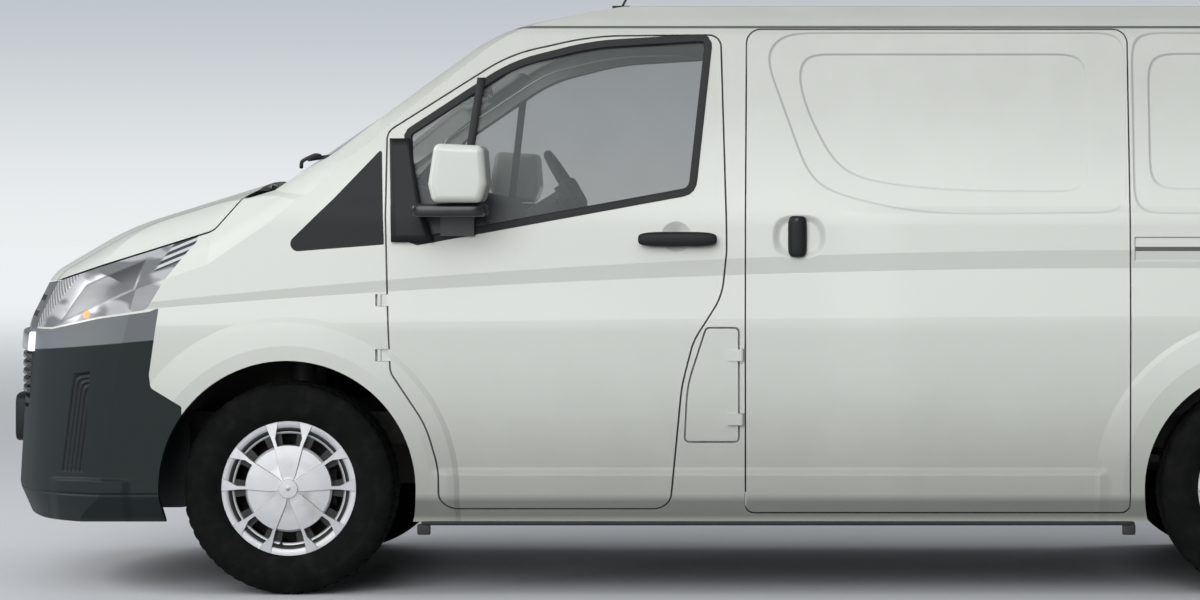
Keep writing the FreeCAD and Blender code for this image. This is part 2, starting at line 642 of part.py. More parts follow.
def tyre(label):
    """Tyre about +Y, its outer sidewall toward +Y: bead, bulging sidewall, shoulder and tread."""
    body = doc.addObject("PartDesign::Body", label)
    half, top = d.tyre_width / 2, d.tyre_radius
    bead = d.rim_width / 2 - 13.5
    right = [(bead, d.rim_radius + s.fit), (bead, d.flange_radius + s.fit), (half - 20, d.flange_radius + s.fit),
             (half - 6, d.flange_radius + 22), (half, top - 82),
             (half - 5, top - 38), (half - 19, top - 9), (half - 40, top)]
    left = [(0 - u, v) for u, v in reversed(right)]
    turned(body, right + left, label + "Ring")
    return record(label, body)


def wheel(label):
    """Pressed wheel about +Y: rim barrel with flanges, dished disc with ten windows, bolt holes and pilot."""
    body = doc.addObject("PartDesign::Body", label)
    half, seat, lip = d.rim_width / 2, d.rim_radius, d.flange_radius
    profile = [(0 - half, lip), (10 - half, lip), (13 - half, seat), (0 - 20, seat - 4), (0 - 8, seat - 20),
               (24, seat - 20), (34, seat - 4), (half - 13, seat), (half - 10, lip), (half, lip),
               (half - 2, seat - 8), (half - 14, seat - 20), (half - 12, 130), (half - 2, 122), (half - 2, 50),
               (half + 12, 40), (half + 12, 14), (half - 4, 14), (half - 4, d.pilot_radius), (44, d.pilot_radius),
               (44, 105), (62, 128), (56, seat - 28), (32, seat - 30), (0 - 12, seat - 30), (0 - 24, seat - 12),
               (0 - half, seat - 10)]
    turned(body, profile, label + "Rim")
    window = sketch_on(body, "XZ_Plane", [[(0 - 27, d.window_outer), (27, d.window_outer),
                                           (19, d.window_inner), (0 - 19, d.window_inner)]], label + "Window")
    pocket = body.newObject("PartDesign::Pocket", label + "Pocket")
    pocket.Profile = window
    pocket.Type = "ThroughAll"
    pocket.Midplane = True
    doc.recompute()
    ring = body.newObject("PartDesign::PolarPattern", label + "Windows")
    ring.Originals = [pocket]
    spin = next(feature for feature in body.Origin.OriginFeatures if feature.Role == "Y_Axis")
    ring.Axis = (spin, [""])
    ring.Angle = 360
    ring.Occurrences = 10
    body.Tip = ring
    doc.recompute()
    return record(label, body)


WHEELS = [("front_left", FRONT_AXLE, -1), ("front_right", FRONT_AXLE, 1),
          ("rear_left", REAR_AXLE, -1), ("rear_right", REAR_AXLE, 1)]
for corner_name, axle, side in WHEELS:
    for item in (tyre(f"tyre_{corner_name}"), wheel(f"wheel_{corner_name}")):
        item.Placement = FreeCAD.Placement(Vec(axle, side * WHEEL_SIDE, AXLE_HEIGHT),
                                           FreeCAD.Rotation(Vec(0, 0, 1), 0 if side > 0 else 180))

# Front suspension: an upright on a vertical kingpin between two fixed arms, with the damper inboard
for side_name, side in (("left", -1), ("right", 1)):
    pin_y = side * s.kingpin_side
    hub_end = WHEEL_SIDE + 44 - s.fit
    upright = cylinder(24, 262, (FRONT_AXLE, pin_y, 234))
    stub = cylinder(26, d.track / 2 - d.kingpin_side + 30, (FRONT_AXLE, pin_y, AXLE_HEIGHT), (0, side, 0))
    hub = cylinder(d.hub_radius, 14, (FRONT_AXLE, side * (hub_end - 14), AXLE_HEIGHT), (0, side, 0))
    pilot = cylinder(d.pilot_radius - 1, 38, (FRONT_AXLE, side * (hub_end - 14), AXLE_HEIGHT), (0, side, 0))
    caliper = cuboid(70, 46, 120, (FRONT_AXLE + 112, side * (WHEEL_SIDE - 16), AXLE_HEIGHT))
    disc = cylinder(138, 22, (FRONT_AXLE, side * (WHEEL_SIDE - 22), AXLE_HEIGHT), (0, side, 0))
    fused(f"knuckle_{side_name}", [upright, stub, hub, pilot, caliper, disc])

beam = [cuboid(110, 940, 70, (FRONT_AXLE, 0, 270))]
for side in (-1, 1):
    reach = s.kingpin_side + 24 - 440
    middle = side * (440 + reach / 2)
    beam += [cuboid(60, reach, 26, (FRONT_AXLE, middle, 221 - s.fit)),
             cuboid(300, 150, 32, (FRONT_AXLE, side * 430, 247)),
             cuboid(56, s.kingpin_side + 24 - 560, 30, (FRONT_AXLE, side * (s.kingpin_side + 584) / 2, 511 + s.fit)),
             cylinder(45, AXLE_HEIGHT + 435 - s.fit - 230, (FRONT_AXLE, side * 575, 230)),
             cuboid(80, 58, RAIL_LOW - 300 - s.fit, (FRONT_AXLE, side * 478, 150 + RAIL_LOW / 2))]
beam.append(cylinder(28, 900, (FRONT_AXLE + 150, -450, 272), (0, 1, 0)))
fused("front_subframe", beam)

# Rear axle with its brake drums, and leaf springs hung from the rails
axle_parts = [cylinder(d.axle_tube_radius, d.track - 100, (REAR_AXLE, 50 - WHEEL_SIDE, AXLE_HEIGHT), (0, 1, 0)),
              cylinder(d.diff_radius, 150, (REAR_AXLE, -75, AXLE_HEIGHT), (0, 1, 0)),
              cylinder(60, 120, (REAR_AXLE - 180, 0, AXLE_HEIGHT), (1, 0, 0))]
for side in (-1, 1):
    hub_end = WHEEL_SIDE + 44 - s.fit
    axle_parts += [cylinder(140, 60, (REAR_AXLE, side * (WHEEL_SIDE - 50), AXLE_HEIGHT), (0, side, 0)),
                   cylinder(40, 40, (REAR_AXLE, side * (hub_end - 54), AXLE_HEIGHT), (0, side, 0)),
                   cylinder(d.hub_radius, 14, (REAR_AXLE, side * (hub_end - 14), AXLE_HEIGHT), (0, side, 0)),
                   cylinder(d.pilot_radius - 1, 38, (REAR_AXLE, side * (hub_end - 14), AXLE_HEIGHT), (0, side, 0)),
                   cuboid(110, d.leaf_width + 10, 60, (REAR_AXLE, side * s.leaf_side, AXLE_HEIGHT + 20))]
fused("rear_axle", axle_parts)


def arc_slab(half_length, rise, thickness, width, centre, low):
    """Bowed leaf: two concentric arcs in side view, its ends higher than its middle."""
    radius = (half_length ** 2 + rise ** 2) / (2 * rise)
    outer_radius = radius + thickness
    edges = []
    for size, order in ((radius, 1), (outer_radius, -1)):
        angle = math.asin(half_length / radius)
        points = [Vec(centre[0] + size * math.sin(turn) * order, centre[1] - width / 2,
                      low + outer_radius - size * math.cos(turn)) for turn in (-angle, 0, angle)]
        edges.append(Part.Arc(*points).toShape())
    ends = [(edge.firstVertex(True).Point, edge.lastVertex(True).Point) for edge in edges]
    edges.insert(1, Part.LineSegment(ends[0][1], ends[1][0]).toShape())
    edges.append(Part.LineSegment(ends[1][1], ends[0][0]).toShape())
    return Part.Face(Part.Wire(edges)).extrude(Vec(0, width, 0))


# Leaf springs, one each side, between hangers under the rails
LEAF_LOW = AXLE_HEIGHT + 50
leaves = [arc_slab(s.leaf_length / 2, 62, 24, s.leaf_width, (REAR_AXLE, side * s.leaf_side), LEAF_LOW)
          for side in (-1, 1)]
panel("leaf_springs", Part.makeCompound(leaves))

# Floor: load floor, wheelhouses, toe board and firewall, ladder rails, crossmembers and inner sills
FIREWALL = FRONT_AXLE + 285
slab = wall_inside.common(block(FIREWALL + 100, TAIL, -HALF, HALF, FLOOR_LOW, s.floor_height))
door_zone = block(FIREWALL - 50, s.slide_rear + 10, FLOOR_EDGE, HALF, 200, TOP)
toe = side_prism([(FIREWALL + 140, FLOOR_LOW, 0), (FIREWALL + 140, s.floor_height, 0), (FIREWALL + 10, 830, 30),
                  (FIREWALL + 10, 1320, 0), (FIREWALL - 10, 1320, 0), (FIREWALL - 10, 815, 30),
                  (FIREWALL + 110, FLOOR_LOW, 0)], -HALF, HALF)
floor = slab.fuse(toe.common(wall_inside))
for side in (-1, 1):
    well = Part.makeCylinder(432, 260, Vec(REAR_AXLE, side * 672, AXLE_HEIGHT), Vec(0, side, 0))
    well_space = Part.makeCylinder(420, 260, Vec(REAR_AXLE, side * 684, AXLE_HEIGHT), Vec(0, side, 0))
    well = well.common(wall_inside).common(block(NOSE, TAIL, -HALF, HALF, FLOOR_LOW, TOP))
    floor = floor.fuse(well).cut(well_space)
    zone = door_zone if side > 0 else mirrored(door_zone)
    floor = floor.cut(zone)
    inner_sill = block(WING_REAR + 30, REAR_AXLE - 440, *sorted((side * 790, side * side_at(s.wall + 36))),
                       s.rocker_height + 16, FLOOR_LOW)
    front_well = Part.makeCylinder(446, 400, Vec(FRONT_AXLE, side * 509, AXLE_HEIGHT), Vec(0, side, 0))
    front_space = Part.makeCylinder(438, 420, Vec(FRONT_AXLE, side * 517, AXLE_HEIGHT), Vec(0, side, 0))
    front_well = front_well.common(skin_inside).common(block(NOSE, TAIL, -HALF, HALF, AXLE_HEIGHT, TOP))
    rail_y = sorted((side * (s.rail_side - s.rail_width / 2), side * (s.rail_side + s.rail_width / 2 - 8)))
    rail = block(NOSE + 170, TAIL - 120, *rail_y, RAIL_LOW, RAIL_TOP)
    hangers = [block(REAR_AXLE + dx - 20, REAR_AXLE + dx + 20, *sorted((side * 565, side * 635)),
                     LEAF_LOW + 86, FLOOR_LOW) for dx in (-s.leaf_length / 2 + 16, s.leaf_length / 2 - 16)]
    floor = joined([floor, front_well.cut(front_space), inner_sill, rail] + hangers)
for middle in (FRONT_AXLE + 470, 0, REAR_AXLE - 560, REAR_AXLE + 560):
    beam = block(middle - 45, middle + 45, -side_at(s.wall + 36), side_at(s.wall + 36), RAIL_TOP - 60, RAIL_TOP)
    floor = floor.fuse(beam)
nose_beam = block(NOSE + 130, NOSE + 170, -500, 500, RAIL_LOW, RAIL_TOP)
floor = joined([floor, nose_beam])
for eye_x in (NOSE + 230, TAIL - 160):
    eye = block(eye_x - 36, eye_x + 36, -s.rail_side - 30, -s.rail_side + 30, RAIL_LOW - 46, RAIL_LOW - 30)
    eye = eye.cut(rod(s.tow_bore_radius, (eye_x, -s.rail_side, RAIL_LOW - 60),
                      (eye_x, -s.rail_side, RAIL_LOW)))
    cheeks = [block(eye_x + side * 31 - 5, eye_x + side * 31 + 5, -s.rail_side - 30, -s.rail_side + 30,
                    RAIL_LOW - 46, RAIL_LOW + 5) for side in (-1, 1)]
    floor = joined([floor, eye] + cheeks)
panel("floor_pan", largest(floor))

# Engine and driveline
engine = cuboid(600, 560, 620, (FRONT_AXLE - 340, 0, 730))
gearbox = cuboid(620, 300, 180, (FRONT_AXLE + 270, 0, 400))
mount_bar = cuboid(120, 2 * (s.rail_side - s.rail_width / 2) - 2 * s.fit, 40, (FRONT_AXLE - 340, 0, 560))
fused("engine_block", [engine, gearbox, mount_bar])
shaft_start = FRONT_AXLE + 580 + s.fit
shaft_end = REAR_AXLE - 180 - s.fit
shaft = [cylinder(d.shaft_radius, shaft_end - shaft_start, (shaft_start, 0, AXLE_HEIGHT + 30), (1, 0, 0)),
         cylinder(55, 40, (shaft_start, 0, AXLE_HEIGHT + 30), (1, 0, 0)),
         cylinder(52, 40, (shaft_end - 40, 0, AXLE_HEIGHT + 30), (1, 0, 0)),
         cuboid(60, 120, RAIL_TOP - 60 - (AXLE_HEIGHT - 30), (0, 0, (RAIL_TOP - 60 + AXLE_HEIGHT - 30) / 2))]
fused("propshaft", shaft)
PIPE_Y = 400
PIPE_Z = 425
pipe = [cylinder(d.pipe_radius, 4040, (FRONT_AXLE - 60, PIPE_Y, PIPE_Z), (1, 0, 0)),
        cylinder(80, 620, (FRONT_AXLE + 2000, PIPE_Y - 50, PIPE_Z - 5), (1, 0, 0)),
        cylinder(d.pipe_radius, 150, (FRONT_AXLE + 3965, PIPE_Y, PIPE_Z), (0.3, 0, -1)),
        cuboid(40, 60, 40, (FRONT_AXLE + 1500, PIPE_Y + 30, RAIL_LOW - 20)),
        cuboid(40, 60, 40, (FRONT_AXLE + 3700, PIPE_Y + 30, RAIL_LOW - 20))]
fused("exhaust", pipe)
tank = cuboid(d.tank_length, 320, d.tank_height, (450, -270, RAIL_LOW - 20))
strap_box = cuboid(60, 320, 60, (450, -270, RAIL_TOP - 30))
fused("fuel_tank", [tank, strap_box])

# Spare wheel flat under the rear floor, hung on its carrier
spare = doc.addObject("PartDesign::Body", "spare_wheel")
turned(spare, [(-100, d.rim_radius), (-107, d.tyre_radius - 80), (-90, d.tyre_radius - 8), (-60, d.tyre_radius),
               (60, d.tyre_radius), (90, d.tyre_radius - 8), (107, d.tyre_radius - 80), (100, d.rim_radius),
               (70, d.rim_radius - 16), (70, 28), (111, 28), (111, 0), (40, 0), (40, d.rim_radius - 16),
               (-70, d.rim_radius - 16)], "Spare")
record("spare_wheel", spare)
spare.Placement = FreeCAD.Placement(Vec(TAIL - 440, 0, RAIL_TOP - 60 - 111 - s.fit),
                                    FreeCAD.Rotation(Vec(1, 0, 0), 90))


def padded(length, width, height, fillet, name):
    """Cushion block: a padded rectangle with every edge rounded."""
    body = doc.addObject("PartDesign::Body", name)
    sketch = sketch_on(body, "XY_Plane", [[(0 - length / 2, 0 - width / 2), (length / 2, 0 - width / 2),
                                           (length / 2, width / 2), (0 - length / 2, width / 2)]], name + "Sketch")
    pad = body.newObject("PartDesign::Pad", name + "Pad")
    pad.Profile = sketch
    bind(pad, "Length", height)
    doc.recompute()
    rounding = body.newObject("PartDesign::Fillet", name + "Round")
    rounding.Base = (pad, [f"Edge{number + 1}" for number in range(len(pad.Shape.Edges))])
    rounding.Radius = fillet
    return body


# Seats: a box base, cushion, raked back and head rest
SEAT_X = FRONT_AXLE + 1110
for label, side in (("driver_seat", 1), ("passenger_seat", -1)):
    y = side * s.seat_side
    width = d.seat_width if side > 0 else d.seat_width + 200
    base = cuboid(430, width - 60, 230 - s.fit, (SEAT_X + 10, y, s.floor_height + 115 + s.fit))
    cushion = padded(500, width, 150, 40, label + "Cushion")
    cushion.Placement = FreeCAD.Placement(Vec(SEAT_X, y, s.floor_height + 215), FreeCAD.Rotation(Vec(0, 1, 0), -4))
    back = padded(130, width - 10, 620, 40, label + "Back")
    back.Placement = FreeCAD.Placement(Vec(SEAT_X + 215, y, s.floor_height + 330), FreeCAD.Rotation(Vec(0, 1, 0), 13))
    rest = padded(90, 270, 150, 35, label + "Rest")
    rest.Placement = FreeCAD.Placement(Vec(SEAT_X + 357, y, s.floor_height + 922), FreeCAD.Rotation(Vec(0, 1, 0), 13))
    fused(label, [base, cushion, back, rest])

# Dashboard across the cab, and the column it carries
dash_outline = [(FIREWALL - 255, 1330, 0), (FIREWALL - 250, 1352, 10), (FIREWALL + 120, 1345, 200),
                (FIREWALL + 330, 1300, 60), (FIREWALL + 360, 1230, 50), (FIREWALL + 330, 1040, 80),
                (FIREWALL + 240, 900, 60), (FIREWALL + 60, 880, 30), (FIREWALL + 10 + s.fit, 960, 0),
                (FIREWALL + 10 + s.fit, 1320 + s.fit, 0)]
dash = side_prism(dash_outline, -side_at(s.wall + 60), side_at(s.wall + 60)).common(wall_inside)
RAKE = math.radians(32)
AXIS = Vec(math.cos(RAKE), 0, math.sin(RAKE))
WHEEL_CENTRE = Vec(FRONT_AXLE + 843, s.steering_side, 1319)
column_end = WHEEL_CENTRE - AXIS * 46
column = rod(42, tuple(column_end - AXIS * 330), tuple(column_end))
panel("dashboard", largest(dash.fuse(column)))

# Steering wheel: rim, three spokes and boss, turning about the raked column
rim = doc.addObject("Part::Torus", "Torus")
bind(rim, "Radius1", d.steering_rim_radius - d.steering_tube_radius)
bind(rim, "Radius2", d.steering_tube_radius)
boss = cylinder(55, 46 - s.fit, (0, 0, s.fit - 46))
spokes = []
for degrees in (0, 120, 240):
    spoke = cuboid(d.steering_rim_radius - 20, 34, 12, (0, 0, 0))
    turn = FreeCAD.Rotation(Vec(0, 0, 1), degrees + 30)
    spoke.Placement = FreeCAD.Placement(turn.multVec(Vec(0, -17, -14)), turn)
    spokes.append(spoke)
steering = fused("steering_wheel", [rim, boss] + spokes)
steering.Placement = FreeCAD.Placement(WHEEL_CENTRE, FreeCAD.Rotation(Vec(0, 0, 1), AXIS))

# Door mirrors on the cab doors' front corners, antenna on the roof
for side_name, side in (("left", -1), ("right", 1)):
    housing = doc.addObject("PartDesign::Body", f"Housing_{side_name}")
    mirror_sketch = sketch_on(housing, "XZ_Plane", [[(-80, 0), (75, 0), (95, 60), (85, 185), (-75, 193), (-95, 60)]],
                              "MirrorSketch")
    pad = housing.newObject("PartDesign::Pad", "MirrorPad")
    pad.Profile = mirror_sketch
    pad.Length = 200
    doc.recompute()
    rounding = housing.newObject("PartDesign::Fillet", "MirrorRound")
    rounding.Base = (pad, [f"Edge{number + 1}" for number in range(len(pad.Shape.Edges))])
    rounding.Radius = 24
    doc.recompute()
    housing.Placement = FreeCAD.Placement(Vec(FRONT_AXLE + 580, side * 990 if side < 0 else 1190, 1288),
                                          FreeCAD.Rotation())
    arm = cuboid(90, 136, 34, (FRONT_AXLE + 560, side * 1042, 1262))
    riser = cuboid(60, 40, 60, (FRONT_AXLE + 565, side * 1075, 1280))
    foot = cuboid(110, 20, 99, (FRONT_AXLE + 560, side * 967, 1229.5))
    fused(f"mirror_{side_name}", [housing, arm, riser, foot])
mast = cylinder(4, 380, (FRONT_AXLE + 1036, 0, s.roof_height - 18), (0.55, 0, 1))
mast_base = cuboid(60, 44, 34, (FRONT_AXLE + 1040, 0, s.roof_height - 19))
fused("antenna", [mast, mast_base])

doc.recompute()
faults = [item.Label for item in doc.Objects if "Invalid" in item.State or "Error" in item.State]
faults += [item.Label for item in PIECES if item.Shape.isNull() or not item.Shape.isValid()]
if faults:
    raise RuntimeError(f"Pieces that failed: {faults}")
os.makedirs("parts", exist_ok=True)
for item in PIECES:
    item.Shape.exportStep(f"parts/{item.Label}.step")
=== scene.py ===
"""Looks of a pale panel van seen from its left side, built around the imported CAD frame.

Metres, in the frame of the CAD: x rearward, y to the right, z up, with the ground under the middle at zero.
"""

import math

import bmesh
import bpy
import numpy as np
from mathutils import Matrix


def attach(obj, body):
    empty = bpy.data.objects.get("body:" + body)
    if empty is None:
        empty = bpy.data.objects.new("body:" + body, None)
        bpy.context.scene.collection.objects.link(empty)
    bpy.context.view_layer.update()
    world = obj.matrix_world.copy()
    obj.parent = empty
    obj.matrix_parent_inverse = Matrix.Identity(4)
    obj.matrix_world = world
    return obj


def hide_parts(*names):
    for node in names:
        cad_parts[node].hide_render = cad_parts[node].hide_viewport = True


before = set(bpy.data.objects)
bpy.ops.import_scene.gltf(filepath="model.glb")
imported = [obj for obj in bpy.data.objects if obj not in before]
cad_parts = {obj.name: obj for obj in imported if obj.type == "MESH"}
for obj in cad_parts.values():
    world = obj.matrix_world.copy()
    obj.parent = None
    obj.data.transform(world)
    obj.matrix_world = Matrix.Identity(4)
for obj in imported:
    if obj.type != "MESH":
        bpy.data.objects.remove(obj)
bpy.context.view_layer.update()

# Viewing place, floor and light. The van stands on a pale floor that runs out of sight, under softboxes
# overhead, off the nose and off the far rear corner, with a broad low sky on its left side.
LENGTH = 5.265
NOSE = -LENGTH / 2
TAIL = LENGTH / 2
FRONT_AXLE = NOSE + 1.04
REAR_AXLE = FRONT_AXLE + 3.21
AXLE_HEIGHT = 0.35

camera_data = bpy.data.cameras.new("side_view")
camera_data.lens = 112.8
camera_data.sensor_width = 36.0
camera_data.shift_x = -0.1975
camera_data.shift_y = -0.0833
camera_data.clip_end = 200.0
camera = bpy.data.objects.new("side_view", camera_data)
camera.location = (0.2095, -13.275, 1.298)
camera.rotation_euler = (math.pi / 2, 0, 0)
bpy.context.scene.collection.objects.link(camera)
bpy.context.scene.camera = camera
bpy.context.scene.view_settings.view_transform = "Standard"


class Term:
    """A node socket of a material. Arithmetic on it, from either side, adds Math nodes."""

    def __init__(self, socket):
        self.socket = socket

    def node(self, kind, settings=None, output=0, **values):
        """Adds a node: its settings first, then the values or links of its sockets, by name or number."""
        tree = self.socket.id_data
        made = tree.nodes.new("ShaderNode" + kind)
        for key, value in (settings or {}).items():
            setattr(made, key, value)
        for key, value in values.items():
            numbered = key[0] == "n" and key[1:].isdigit()
            target = made.inputs[int(key[1:]) if numbered else key.replace("_", " ")]
            if isinstance(value, Term):
                tree.links.new(value.socket, target)
            else:
                target.default_value = value
        return Term(made.outputs[output])

    def maths(self, operation, first, second=0.0, third=0.0):
        return self.node("Math", {"operation": operation}, n0=first, n1=second, n2=third)

    def __add__(self, other):
        return self.maths("ADD", self, other)

    def __radd__(self, other):
        return self.maths("ADD", other, self)

    def __sub__(self, other):
        return self.maths("SUBTRACT", self, other)

    def __rsub__(self, other):
        return self.maths("SUBTRACT", other, self)

    def __mul__(self, other):
        return self.maths("MULTIPLY", self, other)

    def __rmul__(self, other):
        return self.maths("MULTIPLY", other, self)

    def __pow__(self, other):
        return self.maths("POWER", self, other)

    def least(self, other):
        return self.maths("MINIMUM", self, other)

    def most(self, other):
        return self.maths("MAXIMUM", self, other)

    def size(self):
        return self.maths("ABSOLUTE", self)

    def wave(self):
        return self.maths("SINE", self)

    def fade(self, low, high):
        """0 below low, 1 above high, smooth between."""
        return self.node("MapRange", {"interpolation_type": "SMOOTHSTEP"}, n0=self, n1=low, n2=high)

    def part(self, index):
        """One coordinate of a vector."""
        return self.node("SeparateXYZ", None, index, Vector=self)

    def noise(self, scale, detail=3.0, roughness=0.5):
        return self.node("TexNoise", None, 0, Vector=self, Scale=scale, Detail=detail, Roughness=roughness)

    def mix(self, first, second):
        """Colour that goes from first to second as this value goes from 0 to 1."""
        first, second = (c if isinstance(c, Term) else (*c, 1.0) for c in (first, second))
        return self.node("Mix", {"data_type": "RGBA"}, 2, n0=self, n6=first, n7=second)

    def stretched(self, x, y, z):
        return self.node("VectorMath", {"operation": "MULTIPLY"}, n0=self, n1=(x, y, z))

    def bump(self, distance, strength=1.0):
        """Surface relief with this value as its height, in parts of distance metres."""
        return self.node("Bump", None, 0, Height=self, Distance=distance, Strength=strength)


def finish(name, build, **constants):
    """A material on Object coordinates: build gets them and returns what varies, by shader socket name."""
    material = bpy.data.materials.new(name)
    material.use_nodes = True
    shader = next(n for n in material.node_tree.nodes if n.type == "BSDF_PRINCIPLED")
    for key, value in constants.items():
        shader.inputs[key.replace("_", " ")].default_value = value
    places = material.node_tree.nodes.new("ShaderNodeTexCoord")
    for key, value in build(Term(places.outputs["Object"])).items():
        material.node_tree.links.new(value.socket, shader.inputs[key.replace("_", " ")])
    return material


def solid(name, points, faces, material, smooth=40):
    """A mesh object from an array of points and an array of faces, with edges over smooth degrees kept sharp."""
    mesh = bpy.data.meshes.new(name)
    mesh.from_pydata(np.reshape(points, (-1, 3)).tolist(), [], faces)
    mesh.validate()
    mesh.update()
    mesh.polygons.foreach_set("use_smooth", np.ones(len(mesh.polygons), bool))
    mesh.set_sharp_from_angle(angle=math.radians(smooth))
    mesh.materials.append(material)
    made = bpy.data.objects.new(name, mesh)
    bpy.context.scene.collection.objects.link(made)
    return made


def quads(rows, columns, closed_rows=False, closed_columns=False):
    """Faces of a grid whose point (i, j) is number i times columns plus j, closed on itself where asked."""
    i, j = np.meshgrid(np.arange(rows if closed_rows else rows - 1),
                       np.arange(columns if closed_columns else columns - 1), indexing="ij")
    down = (i + 1) % rows
    along = (j + 1) % columns
    corners = (i * columns + j, down * columns + j, down * columns + along, i * columns + along)
    return np.stack([c.ravel() for c in corners], axis=1).tolist()


def floor_finish(at):
    away = at.part(1).fade(1.5, 34.0)
    seen = at.node("LightPath", None, 0)
    glossy = at.node("LightPath", None, 3)
    pale = away.mix((0.74, 0.76, 0.79), (0.02, 0.02, 0.02))
    return {"Base Color": seen.most(glossy).mix((0.06, 0.062, 0.065), pale),
            "Emission Color": away.mix((0.0, 0.0, 0.0), (0.80, 0.83, 0.84)),
            "Roughness": at.noise(3.0) * 0.1 + 0.45}


floor = solid("floor", [(-90, -40, 0), (90, -40, 0), (90, 90, 0), (-90, 90, 0)], [(0, 1, 2, 3)],
              finish("studio_floor", floor_finish, Specular_IOR_Level=0.2, Emission_Strength=1.0))

world = bpy.data.worlds.new("studio")
bpy.context.scene.world = world
world.use_nodes = True
tree = world.node_tree
tree.nodes.clear()
ray = tree.nodes.new("ShaderNodeLightPath")
sky_places = tree.nodes.new("ShaderNodeTexCoord")
upward = Term(sky_places.outputs["Generated"]).part(2)
shown = upward.fade(-0.012, 0.062).mix((0.83, 0.86, 0.87), (0.51, 0.55, 0.59))
around = upward.fade(-0.15, 0.5).mix((0.20, 0.21, 0.22), (0.60, 0.63, 0.66))
seen = Term(ray.outputs["Is Camera Ray"]).most(Term(ray.outputs["Is Transmission Ray"]))
lit = seen.node("Background", None, 0, Color=around, Strength=0.42)
view = seen.node("Background", None, 0, Color=shown, Strength=1.0)
both = seen.node("MixShader", None, 0, Fac=seen, n1=lit, n2=view)
output = tree.nodes.new("ShaderNodeOutputWorld")
tree.links.new(both.socket, output.inputs["Surface"])

# name, place, aim, width, height, watts
LAMPS = [("overhead_softbox", (-0.5, -4.5, 6.5), (0.0, 0.0, 1.0), 9.0, 3.0, 60.0),
         ("nose_softbox", (-9.5, -1.0, 5.0), (-2.0, 0.0, 1.0), 5.0, 4.0, 430.0),
         ("rear_softbox", (6.5, 4.5, 5.0), (1.0, 0.0, 0.9), 4.0, 3.0, 120.0)]
for name, place, aim, width, height, watts in LAMPS:
    lamp_data = bpy.data.lights.new(name, "AREA")
    lamp_data.shape = "RECTANGLE"
    lamp_data.size = width
    lamp_data.size_y = height
    lamp_data.energy = watts
    lamp = bpy.data.objects.new(name, lamp_data)
    lamp.location = place
    step = np.subtract(aim, place)
    level = math.hypot(step[0], step[1])
    lamp.rotation_euler = (math.atan2(level, -step[2]), 0, math.atan2(-step[0], step[1]))
    bpy.context.scene.collection.objects.link(lamp)
sky = bpy.data.lights.new("side_sky", "SUN")
sky.energy = 1.85
sky.angle = math.radians(44)
sky_panel = bpy.data.objects.new("side_sky", sky)
sky_panel.rotation_euler = (math.radians(69), 0, math.radians(-14))
bpy.context.scene.collection.objects.link(sky_panel)

# Painted steel body panels: pale off-white gloss paint over pressed steel. The pressed forms are relief in the
# steel: stepped fields on the load sides, an undercut below the waist line, a ledge along the sill and flares
# round the wheels. The colour is painted darker toward the bottom, as painted shade together with a thin film of
# road dust, and painted darker high up the side and roof as painted shade.
PAINT = (0.735, 0.765, 0.715)
PAINT_SHADE_AND_DUST = (0.36, 0.375, 0.34)
# Side outlines of the pressed fields, as corners (x, z), all convex and in order
FIELDS = [[(-0.036, 1.795), (0.127, 1.347), (0.416, 1.250), (1.160, 1.258), (1.160, 1.852), (0.010, 1.852)],
          [(0.064, 1.713), (0.137, 1.496), (0.219, 1.380), (0.416, 1.327), (1.033, 1.327), (1.033, 1.780),
           (0.080, 1.780)],
          [(1.186, 1.255), (2.360, 1.255), (2.330, 1.852), (1.186, 1.852)],
          [(1.239, 1.335), (2.290, 1.335), (2.270, 1.782), (1.239, 1.782)]]
HANDLE_DISH = [(-0.006, 1.105), (0.177, 1.105), (0.177, 1.252), (-0.006, 1.252)]
FIELD_DEPTH = 0.005
LEDGE_DEPTH = 0.011
DISH_DEPTH = 0.014
FLARE_RADIUS = 0.565
CUP_X = -0.317
CUP_Z = 1.178
CUP_RADIUS = 0.050
ROOF_SEAM_Z = 1.872
SLIDE_TRACK_X = 1.186
SLIDE_TRACK_Z = 1.138
SEAM_BLACK = (0.02, 0.022, 0.022)


def depth_inside(x, z, corners, rounding):
    """Distance out of a convex outline, negative inside: the smooth greatest of its edges' distances."""
    whole = None
    for (x0, z0), (x1, z1) in zip(corners, corners[1:] + corners[:1]):
        length = math.hypot(x1 - x0, z1 - z0)
        across = ((z1 - z0) / length, -(x1 - x0) / length)
        edge = x * across[0] + z * across[1] - (x0 * across[0] + z0 * across[1])
        whole = edge if whole is None else whole.maths("SMOOTH_MAX", whole, edge, rounding)
    return whole


